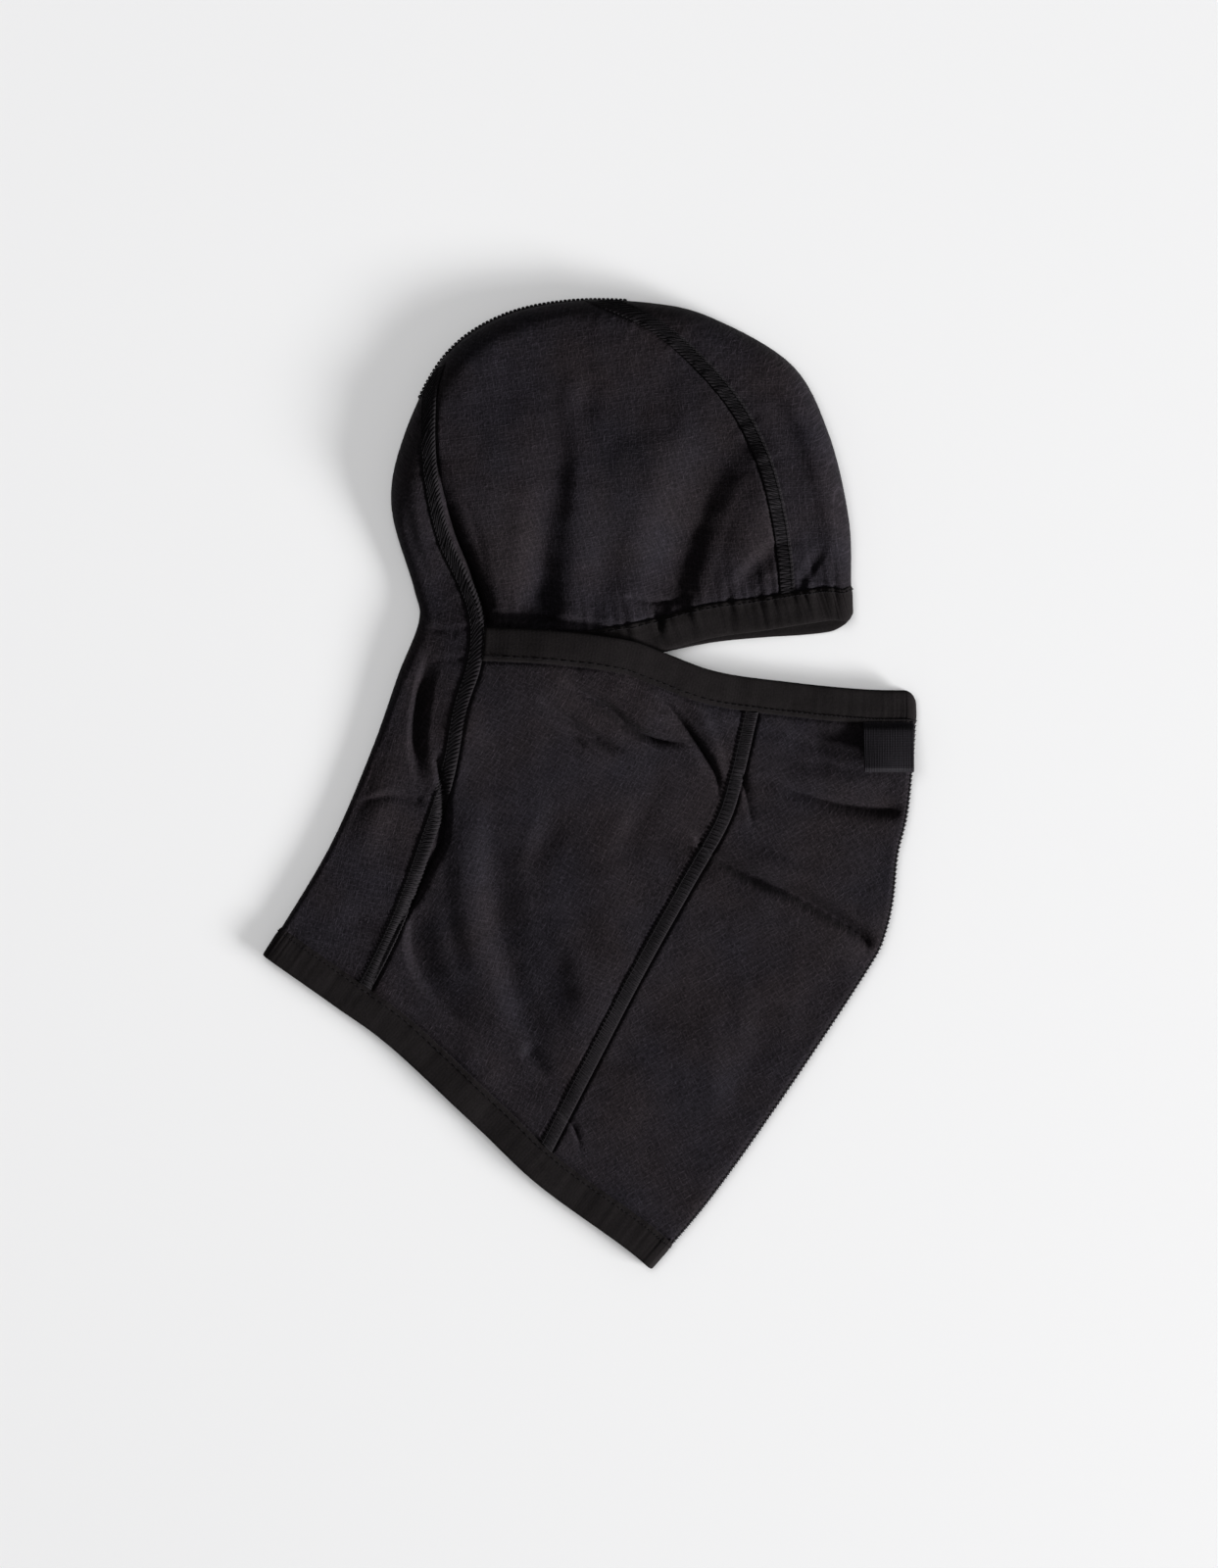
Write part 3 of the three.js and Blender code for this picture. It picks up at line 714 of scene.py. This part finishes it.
def shader_nodes(name, colour, roughness, sheen=0.0, specular=0.5):
    finish = bpy.data.materials.new(name)
    finish.use_nodes = True
    tree = finish.node_tree
    shader = tree.nodes["Principled BSDF"]
    shader.inputs["Base Color"].default_value = (*colour, 1)
    shader.inputs["Roughness"].default_value = roughness
    shader.inputs["Specular IOR Level"].default_value = specular
    shader.inputs["Sheen Weight"].default_value = sheen
    shader.inputs["Sheen Roughness"].default_value = 0.45
    return finish, tree, shader


class Pattern:
    """Small helpers for a finish's nodes."""

    def __init__(self, tree):
        self.tree = tree

    def node(self, kind, **values):
        node = self.tree.nodes.new(kind)
        for key, value in values.items():
            setattr(node, key, value)
        return node

    def link(self, source, target):
        self.tree.links.new(source, target)

    def coordinates(self, scale, uv=True, turn=0.0):
        source = self.node("ShaderNodeTexCoord")
        mapping = self.node("ShaderNodeMapping")
        mapping.inputs["Scale"].default_value = scale
        mapping.inputs["Rotation"].default_value = (0, 0, turn)
        self.link(source.outputs["UV" if uv else "Object"], mapping.inputs["Vector"])
        return mapping.outputs["Vector"]

    def wave(self, vector, direction, profile="SIN", distortion=0.0):
        wave = self.node("ShaderNodeTexWave", bands_direction=direction, wave_profile=profile)
        wave.inputs["Scale"].default_value = 1.0
        wave.inputs["Distortion"].default_value = distortion
        self.link(vector, wave.inputs["Vector"])
        return wave.outputs["Fac"]

    def noise(self, vector, scale, detail=2.0):
        noise = self.node("ShaderNodeTexNoise")
        noise.inputs["Scale"].default_value = scale
        noise.inputs["Detail"].default_value = detail
        self.link(vector, noise.inputs["Vector"])
        return noise.outputs["Fac"]

    def maths(self, operation, first, second):
        node = self.node("ShaderNodeMath", operation=operation)
        for k, value in enumerate((first, second)):
            if isinstance(value, (int, float)):
                node.inputs[k].default_value = value
            else:
                self.link(value, node.inputs[k])
        return node.outputs[0]

    def ramp(self, value, low, high, first, second):
        ramp = self.node("ShaderNodeMapRange")
        for key, number in (("From Min", low), ("From Max", high), ("To Min", first), ("To Max", second)):
            ramp.inputs[key].default_value = number
        self.link(value, ramp.inputs["Value"])
        return ramp.outputs["Result"]

    def mix(self, value, dark, light):
        mix = self.node("ShaderNodeMix", data_type="RGBA")
        mix.inputs["A"].default_value = (*dark, 1)
        mix.inputs["B"].default_value = (*light, 1)
        self.link(value, mix.inputs["Factor"])
        return mix.outputs["Result"]

    def blend(self, value, first, second):
        mix = self.node("ShaderNodeMix", data_type="RGBA")
        for target, source in (("Factor", value), ("A", first), ("B", second)):
            self.link(source, mix.inputs[target])
        return mix.outputs["Result"]

    def bump(self, height, strength, distance, after=None):
        bump = self.node("ShaderNodeBump")
        bump.inputs["Strength"].default_value = strength
        bump.inputs["Distance"].default_value = distance * MM
        self.link(height, bump.inputs["Height"])
        if after is not None:
            self.link(after, bump.inputs["Normal"])
        return bump.outputs["Normal"]


def per_mm(pitch):
    """The scale that makes a wave texture repeat every pitch millimetres on coordinates in metres."""
    return math.pi / 10 / (pitch * MM) if pitch else 0.0


def woven_cloth():
    """Matt plain-weave cloth: a faint grid of thicker threads, and short pale slubs along both threads."""
    finish, tree, shader = shader_nodes("woven_cloth", (0.011, 0.009, 0.012), 0.84, sheen=0.01, specular=0.07)
    p = Pattern(tree)
    fine = p.coordinates((per_mm(0.62), per_mm(0.62), 1))
    weave = p.maths("MULTIPLY", p.wave(fine, "X"), p.wave(fine, "Y"))
    grid = p.coordinates((per_mm(3.1), per_mm(3.1), 1))
    threads = p.maths("MAXIMUM", p.ramp(p.wave(grid, "X"), 0.9, 1.0, 0, 1),
                      p.ramp(p.wave(grid, "Y"), 0.9, 1.0, 0, 1))
    warp = p.noise(p.coordinates((340, 1350, 1)), 1.0, 2.0)
    weft = p.noise(p.coordinates((1350, 340, 1)), 1.0, 2.0)
    slubs = p.maths("MAXIMUM", p.ramp(warp, 0.56, 0.78, 0, 1), p.ramp(weft, 0.56, 0.78, 0, 1))
    dips = p.maths("MAXIMUM", p.ramp(warp, 0.42, 0.26, 0, 1), p.ramp(weft, 0.42, 0.26, 0, 1))
    speckle = p.noise(p.coordinates((1, 1, 1), uv=False), 850.0, 2.0)
    cloud = p.noise(p.coordinates((1, 1, 1), uv=False), 60.0, 3.0)
    tone = p.maths("ADD", p.maths("MULTIPLY", threads, 0.2), p.maths("MULTIPLY", speckle, 0.8))
    tone = p.maths("ADD", tone, p.maths("MULTIPLY", cloud, 0.24))
    tone = p.maths("ADD", tone, p.maths("MULTIPLY", slubs, 0.6))
    tone = p.maths("SUBTRACT", tone, p.maths("MULTIPLY", dips, 0.22))
    tint = p.noise(p.coordinates((1, 1, 1), uv=False), 24.0, 2.0)
    dull = p.mix(p.ramp(tint, 0.35, 0.65, 0, 1), (0.0038, 0.0033, 0.0046), (0.0045, 0.0034, 0.0040))
    bright = p.mix(p.ramp(tint, 0.35, 0.65, 0, 1), (0.0220, 0.0190, 0.0250), (0.0248, 0.0194, 0.0226))
    p.link(p.blend(p.ramp(tone, 0.3, 1.3, 0, 1), dull, bright), shader.inputs["Base Color"])
    rise = p.bump(weave, 0.3, 0.12)
    rise = p.bump(threads, 0.2, 0.1, rise)
    rise = p.bump(slubs, 0.7, 0.3, rise)
    rise = p.bump(speckle, 0.6, 0.45, rise)
    p.link(rise, shader.inputs["Normal"])
    return finish


def knit_elastic():
    """Brownish black elastic: fine ribs across the band, in a matt yarn."""
    finish, tree, shader = shader_nodes("knit_elastic", (0.01, 0.008, 0.007), 0.9, sheen=0.01, specular=0.06)
    p = Pattern(tree)
    ribs = p.wave(p.coordinates((per_mm(1.05), per_mm(1.05), 1)), "X", distortion=0.6)
    rows = p.wave(p.coordinates((per_mm(1.4), per_mm(1.4), 1)), "Y", distortion=0.8)
    yarn = p.noise(p.coordinates((1, 1, 1), uv=False), 1100.0, 3.0)
    wear = p.noise(p.coordinates((1, 1, 1), uv=False), 90.0, 2.0)
    tone = p.maths("ADD", p.maths("MULTIPLY", ribs, 0.07), p.maths("MULTIPLY", yarn, 0.8))
    tone = p.maths("ADD", tone, p.maths("MULTIPLY", wear, 0.3))
    p.link(p.mix(p.ramp(tone, 0.3, 1.0, 0, 1), (0.0040, 0.0033, 0.0034), (0.0112, 0.0094, 0.0098)),
           shader.inputs["Base Color"])
    rise = p.bump(ribs, 0.14, 0.12)
    rise = p.bump(rows, 0.12, 0.12, rise)
    rise = p.bump(yarn, 0.5, 0.25, rise)
    p.link(rise, shader.inputs["Normal"])
    return finish


def seam_yarn():
    """Textured thread that covers the seams: fuzzy, and a little darker than the cloth."""
    finish, tree, shader = shader_nodes("seam_yarn", (0.014, 0.0125, 0.014), 0.82, sheen=0.01, specular=0.08)
    p = Pattern(tree)
    fibre = p.noise(p.coordinates((1, 1, 1), uv=False), 1500.0, 3.0)
    loops = p.wave(p.coordinates((per_mm(1.1), per_mm(1.1), 1)), "X", distortion=1.2)
    tone = p.maths("ADD", p.maths("MULTIPLY", loops, 0.4), p.maths("MULTIPLY", fibre, 0.7))
    p.link(p.mix(p.ramp(tone, 0.25, 0.95, 0, 1), (0.0038, 0.0033, 0.0040), (0.0175, 0.0150, 0.0172)),
           shader.inputs["Base Color"])
    rise = p.bump(loops, 0.3, 0.2)
    rise = p.bump(fibre, 0.6, 0.25, rise)
    p.link(rise, shader.inputs["Normal"])
    return finish


def tab_webbing():
    """Ribbed webbing with a slight shine."""
    finish, tree, shader = shader_nodes("ribbed_webbing", (0.012, 0.011, 0.012), 0.72, sheen=0.01,
                                        specular=0.1)
    p = Pattern(tree)
    ribs = p.wave(p.coordinates((per_mm(0.8), per_mm(0.8), 1)), "X", distortion=0.6)
    picks = p.wave(p.coordinates((per_mm(0.8), per_mm(0.8), 1)), "Y", distortion=0.8)
    yarn = p.noise(p.coordinates((1, 1, 1), uv=False), 1200.0, 2.0)
    tone = p.maths("ADD", p.maths("MULTIPLY", ribs, 0.28), p.maths("MULTIPLY", yarn, 0.75))
    p.link(p.mix(p.ramp(tone, 0.25, 0.95, 0, 1), (0.0030, 0.0026, 0.0036), (0.0122, 0.0104, 0.0134)),
           shader.inputs["Base Color"])
    rise = p.bump(ribs, 0.35, 0.2)
    rise = p.bump(picks, 0.4, 0.15, rise)
    p.link(rise, shader.inputs["Normal"])
    return finish


FINISH = {"woven_fabric": woven_cloth(), "elastic_band": knit_elastic(), "seam_thread": seam_yarn(),
          "tab_webbing": tab_webbing()}


def dress(piece, slot, *nodes, body="garment"):
    piece.data.materials.append(FINISH[slot])
    if body:
        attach(piece, body)
    if nodes:
        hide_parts(*nodes)
    return piece


# ------------------------------------------------------------------ panels


def add_panel(name, surface, columns, rows, grain):
    piece = sheet_mesh(f"{name}_cloth", surface, columns, rows, grain)
    dress(piece, "woven_fabric", name)


for hand, side in HANDS.items():
    hood_plan = patch(EDGE_OF["rear_front"], EDGE_OF["crown_rear"], BROW_CUT[side], CROWN_RIM)
    add_panel(f"hood_side_panel_{hand}", layer_surface("hood", side, hood_plan),
              cells(165, side), cells(165, side), 8)
    neck_plan = patch(EDGE_OF["rear_front"], EDGE_OF["chin_rear"], HEM_CUT, MASK_CUT)
    add_panel(f"neck_side_panel_{hand}", layer_surface("neck", side, neck_plan),
              cells(140, side), cells(235, side), 62)
    chin_plan = patch(FRONT_RIM, EDGE_OF["chin_front"], HEM_CUT, MASK_CUT)
    add_panel(f"chin_panel_{hand}", layer_surface("neck", side, chin_plan),
              cells(90, side), cells(255, side), 30)
crown_plan = patch(extend(BACK_FOLD), EDGE_OF["crown_front"], BROW_CUT[LOWER], CROWN_TIP)
add_panel("crown_front_panel", folded_surface("hood", crown_plan), cells(110), cells(190), 0)
back_plan = patch(extend(BACK_FOLD), EDGE_OF["rear_back"], HEM_CUT, NAPE_TIP)
add_panel("back_panel", folded_surface("back", back_plan), cells(150), cells(280), 75)


# ------------------------------------------------------------------ bands

def band_section(half, lip):
    """A band folded over an edge: full and round at the edge, and thinner at the sewn lip."""
    top = [(0.0, 0.0), (0.012, 0.62), (0.05, 0.95), (0.14, 1.06), (0.3, 1.0), (0.45, 0.97), (0.6, 0.97),
           (0.74, 0.93), (0.82, 0.72), (0.88, 0.9), (0.95, lip), (1.0, lip * 0.4)]
    under = [(a, -h * 0.92) for a, h in reversed(top[1:])]
    return [(a, h * half) for a, h in top + under]


def ripple(pitch_along, height, seed, length):
    rng = np.random.default_rng(seed)
    phases = rng.uniform(0, 6.3, 4)

    def relief(u, across, lift):
        run = u * length * 2 * math.pi / pitch_along
        wave = sum(np.sin(run * f + p) for f, p in zip((0.61, 1.0, 1.43, 2.2), phases)) / 3
        return np.where(lift > 0, wave * height * (0.35 + 0.65 * across), 0.0)
    return relief


def add_band(name, surface, columns, seed, wave):
    length = length_of(surface)
    piece = loop_mesh(f"{name}_elastic", surface, columns, band_section(BAND_HALF, 0.7),
                      ripple(wave[0], wave[1], seed, length), (length, BAND_WIDTH))
    return dress(piece, "elastic_band", name)


REAR_END = extend(offset(REAR_SEAM, -SEAM_HALF + 0.4))
brow_surface = tabled(two_faced_band("hood", BACK_FOLD, BROW_EDGE, BROW_INNER, REAR_END, 3.5), 700, 12)
MASK_EDGES, MASK_INNERS = ({UPPER: path, LOWER: path} for path in (MASK_EDGE, MASK_INNER))
mask_surface = tabled(two_faced_band("neck", FRONT_FOLD, MASK_EDGES, MASK_INNERS, REAR_END, 4.5), 700, 12)
hem_line = tabled(hem_surface(), 800, 12)
brow_band = add_band("brow_band", brow_surface, 420, 41, (6.0, 0.2))
mask_band = add_band("mask_band", mask_surface, 420, 42, (11.0, 0.14))
hem_band = add_band("hem_band", hem_line, 480, 43, (9.0, 0.22))


# ------------------------------------------------------------------ seams

def seam_section(ditch_side, height):
    """The flat raised face of a seam: a tall shoulder over the ditch, and lower on the stitched side."""
    top = [(0.0, 0.2), (0.02, 0.95), (0.07, 1.3), (0.18, 1.38), (0.36, 1.3), (0.55, 1.2), (0.7, 1.1),
           (0.8, 0.78), (0.87, 0.95), (0.95, 0.8), (0.99, 0.3)]
    under = [(1.0, -0.2), (0.8, -0.7), (0.5, -0.8), (0.12, -0.7)]
    ring = [(a, h * height) for a, h in top] + under
    return ring if ditch_side > 0 else [(1 - a, h) for a, h in reversed(ring)]


def stitch_relief(length):
    def relief(u, across, lift):
        run = u * length / STITCH * 2 * math.pi
        return np.where(lift > 0, 0.26 * np.cos(run + across * 2.4) - 0.05, 0.0)
    return relief


def cover_stitches(surface, length, height):
    """Looper thread that zigzags over a seam, dipping to the cloth at each side."""
    count = int(length / STITCH)
    u, across, lift = [], [], []
    for k in range(count):
        for along_stitch, a, h in ((0.0, 0.04, 0.6), (0.2, 0.2, 1.75), (0.36, 0.5, 1.95), (0.5, 0.8, 1.75),
                                   (0.58, 0.96, 0.6), (0.74, 0.72, 1.6), (0.88, 0.34, 1.65)):
            u.append((k + along_stitch) / count)
            across.append(a)
            lift.append(h * height)
    u, across, lift = map(np.array, (u, across, lift))
    return surface(u, across) + normals_of(surface, u, across) * lift[:, None]


def needle_row(surface, length, across, lift=0.55, pitch=STITCH):
    """A row of sunk stitches: a thread that rises out of the cloth and goes back in."""
    count = int(length / pitch)
    step_of = np.arange(count * 4 + 1)
    phase = step_of % 4
    high = lift + np.array([0.0, 0.28, 0.36, 0.28])[phase] * 1.6 - 0.5 * (phase == 0)
    u = step_of / 4 / count
    a = np.full(len(u), across)
    return surface(u, a) + normals_of(surface, u, a) * high[:, None]


SEAMS = {}


def add_seam(name, surface, ditch_side=1, height=0.5):
    surface = tabled(surface, 420, 14)
    length = length_of(surface)
    columns = int(length / STITCH * 6)
    welt = loop_mesh(f"{name}_welt", surface, columns, seam_section(ditch_side, height),
                     stitch_relief(length), (length, 2 * SEAM_HALF))
    dress(welt, "seam_thread", name)
    row = needle_row(surface, length, 0.82 if ditch_side > 0 else 0.18, height)
    loops = thread_mesh(f"{name}_loops", [cover_stitches(surface, length, height), row])
    dress(loops, "seam_thread")
    SEAMS[name] = (welt, loops)


for hand, side in HANDS.items():
    add_seam(f"rear_seam_{hand}", seam_surface("back", side, REAR_SEAM, HEM_INNER, CROWN_EDGE), -1)
    add_seam(f"crown_front_seam_{hand}", seam_surface("hood", side, CROWN_FRONT_SEAM, BROW_INNER[side],
                                                      CROWN_EDGE))
    add_seam(f"chin_seam_{hand}", seam_surface("neck", side, CHIN_SEAM, MASK_INNER, HEM_INNER))
TIP_COVER = 0.002         # how far the seam runs on over a panel's tip, as a share of the fold's length
crown_start, crown_end = (crossing(BACK_FOLD, tip)[0] for tip in (NAPE_TIP, CROWN_TIP))
crown_line = fold_surface("hood", BACK_FOLD, crown_start - TIP_COVER, crown_end + TIP_COVER, SEAM_HALF)
add_seam("crown_centre_seam", crown_line, height=0.5)
front_start, front_end = crossing(FRONT_FOLD, MASK_INNER)[0], crossing(FRONT_FOLD, HEM_INNER)[0]
add_seam("centre_front_seam", fold_surface("neck", FRONT_FOLD, front_start, front_end, SEAM_HALF),
         height=0.4)

ROWS = {}
for band, surface in ((brow_band, brow_surface), (mask_band, mask_surface), (hem_band, hem_line)):
    name = band.name.replace("_elastic", "_stitches")
    row = thread_mesh(name, [needle_row(surface, length_of(surface), 0.87, 0.75, ROW_STITCH)], ROW_THREAD)
    ROWS[band.name] = (band, dress(row, "seam_thread"))


# ------------------------------------------------------------------ what the cloth was cut to

# width, length and area of each cut panel
CUT = {"hood_side_panel": (0.165, 0.172, 0.0228), "neck_side_panel": (0.140, 0.245, 0.0255),
       "chin_panel": (0.124, 0.270, 0.0232), "crown_front_panel": (0.074, 0.190, 0.0118),
       "back_panel": (0.092, 0.300, 0.0189)}


def declare_sheet(name, sewn=()):
    width, length, area = CUT[name.replace("_right", "").replace("_left", "")]
    list(sewn)


for hand in HANDS:
    declare_sheet(f"hood_side_panel_{hand}",
                  SEAMS[f"crown_front_seam_{hand}"])
    declare_sheet(f"neck_side_panel_{hand}",
                  SEAMS[f"chin_seam_{hand}"])
declare_sheet("chin_panel_left")
declare_sheet("chin_panel_right",
              ROWS["mask_band_elastic"] + SEAMS["centre_front_seam"])
declare_sheet("crown_front_panel", ROWS["brow_band_elastic"] + SEAMS["crown_centre_seam"])
declare_sheet("back_panel",
              ROWS["hem_band_elastic"] + SEAMS["rear_seam_right"] + SEAMS["rear_seam_left"])


# ------------------------------------------------------------------ webbing tab

TAB_PLY, TAB_RIB = 1.25, 1.3
TAB_CORNER_LIFT = 5.2
TAB_SINK = 1.15           # brings the lower ply down onto the cloth


def tab_path(count):
    """The webbing's line seen from the side, as (out from the hinge, up): over, round the fold and back."""
    low, high = (np.array(corner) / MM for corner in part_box("pull_tab"))
    reach = HINGE[1] - low[1] - TAB_PLY / 2
    tilt = math.radians(7)
    bend = 1.0
    points = [(-3.2, -1.7), (-1.8, -1.3), (-0.2, -0.3), (1.8, bend - 0.2), (reach * 0.45, bend),
              (reach - 3.2, bend + 0.4), (reach - 1.2, bend + 0.55), (reach - 0.25, 0.75), (reach, 0.0),
              (reach - 0.3, -0.75),
              (reach - 1.4, -bend), (reach * 0.5, -bend), (1.0, -bend), (-0.8, -1.3), (-2.6, -1.9)]
    path = smooth(np.array(points), count)
    turned = np.column_stack([path[:, 0] * math.cos(tilt) - path[:, 1] * math.sin(tilt),
                              path[:, 0] * math.sin(tilt) + path[:, 1] * math.cos(tilt)])
    return turned, low[0], high[0]


HINGE = np.array(next(j for j in frame["joints"] if j["name"] == "tab_lift")["pos_m"]) / MM


def add_tab():
    """Webbing doubled over: its ends go in under the mask band, and its free end is a round fold."""
    path, left, right = tab_path(90)
    reach = path[:, 0].max()

    def surface(u, v):
        place = v * (len(path) - 1)
        out = np.interp(place, np.arange(len(path)), path[:, 0])
        up = np.interp(place, np.arange(len(path)), path[:, 1])
        x = left + (right - left) * u
        far = np.clip(out / reach, 0, 1)
        lift = TAB_CORNER_LIFT * far**1.6 * (1 - u)**1.3 + 0.5 * far * np.sin(u * 5.0)
        rib = 0.03 * np.cos((x - left) / TAB_RIB * 2 * math.pi)
        way = np.gradient(path, axis=0)
        way /= np.linalg.norm(way, axis=1)[:, None]
        side_out = np.interp(place, np.arange(len(path)), -way[:, 1])
        side_up = np.interp(place, np.arange(len(path)), way[:, 0])
        height = HINGE[2] - TAB_SINK + up + lift + side_up * rib
        return np.column_stack([x, HINGE[1] - out - side_out * rib, height])

    columns, rows = 118, 100
    piece = sheet_mesh("pull_tab_webbing", surface, columns, rows, thickness=TAB_PLY)
    layer = piece.data.uv_layers["grain"]
    run = np.linspace(0, 50, rows + 1)
    for loop in piece.data.loops:
        row, column = divmod(loop.vertex_index, columns + 1)
        layer.data[loop.index].uv = (column / columns * (right - left) * MM, run[row] * MM)
    dress(piece, "tab_webbing", "pull_tab", body=None)
    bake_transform(piece)
    return piece


add_tab()


# ------------------------------------------------------------------ floor, light and camera

VIEW_CENTRE = (0.0091, 0.0002)
VIEW_HEIGHT = 0.768
CAMERA_DISTANCE = 2.4


def add_floor():
    mesh = bpy.data.meshes.new("floor")
    bm = bmesh.new()
    bmesh.ops.create_grid(bm, x_segments=2, y_segments=2, size=6.0)
    bm.to_mesh(mesh)
    bm.free()
    floor = bpy.data.objects.new("floor", mesh)
    bpy.context.scene.collection.objects.link(floor)
    paper = shader_nodes("pale_paper", (0.86, 0.86, 0.865), 0.9, specular=0.1)[0]
    mesh.materials.append(paper)
    floor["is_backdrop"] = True
    return floor


def add_light(name, place, target, size, power, colour=(1, 1, 1)):
    data = bpy.data.lights.new(name, "AREA")
    data.shape = "DISK"
    data.size = size
    data.energy = power
    data.color = colour
    light = bpy.data.objects.new(name, data)
    light.location = place
    light.rotation_euler = (Vector(target) - Vector(place)).to_track_quat("-Z", "Y").to_euler()
    bpy.context.scene.collection.objects.link(light)
    return light


def add_camera():
    data = bpy.data.cameras.new("camera")
    data.sensor_width = 36.0
    data.lens = 36.0 * CAMERA_DISTANCE / VIEW_HEIGHT
    camera = bpy.data.objects.new("camera", data)
    camera.location = (*VIEW_CENTRE, CAMERA_DISTANCE)
    bpy.context.scene.collection.objects.link(camera)
    bpy.context.scene.camera = camera


floor = add_floor()
add_light("low_key", (3.5, -1.5, 1.45), (0, 0, 0), 1.4, 110.0)
raking = add_light("raking_light", (3.2, -2.2, 1.5), (0, 0, 0), 0.9, 390.0)
floor_lights = [add_light("floor_light", (-0.5, 0.6, 2.9), (0, 0, 0), 2.4, 42.0),
                add_light("low_floor_light", (14.8, -9.8, 6.4), (0, 0, 0), 4.4, 1700.0)]
garment_pieces = bpy.data.collections.new("garment_pieces")
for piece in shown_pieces():
    garment_pieces.objects.link(piece)
raking.light_linking.receiver_collection = garment_pieces
floor_alone = bpy.data.collections.new("floor_alone")
floor_alone.objects.link(floor)
for light in floor_lights:
    light.light_linking.receiver_collection = floor_alone
world = bpy.data.worlds.new("studio")
world.use_nodes = True
world.node_tree.nodes["Background"].inputs["Color"].default_value = (1, 1, 1, 1)
world.node_tree.nodes["Background"].inputs["Strength"].default_value = 0.24
bpy.context.scene.world = world
bpy.context.scene.view_settings.view_transform = "Standard"
add_camera()
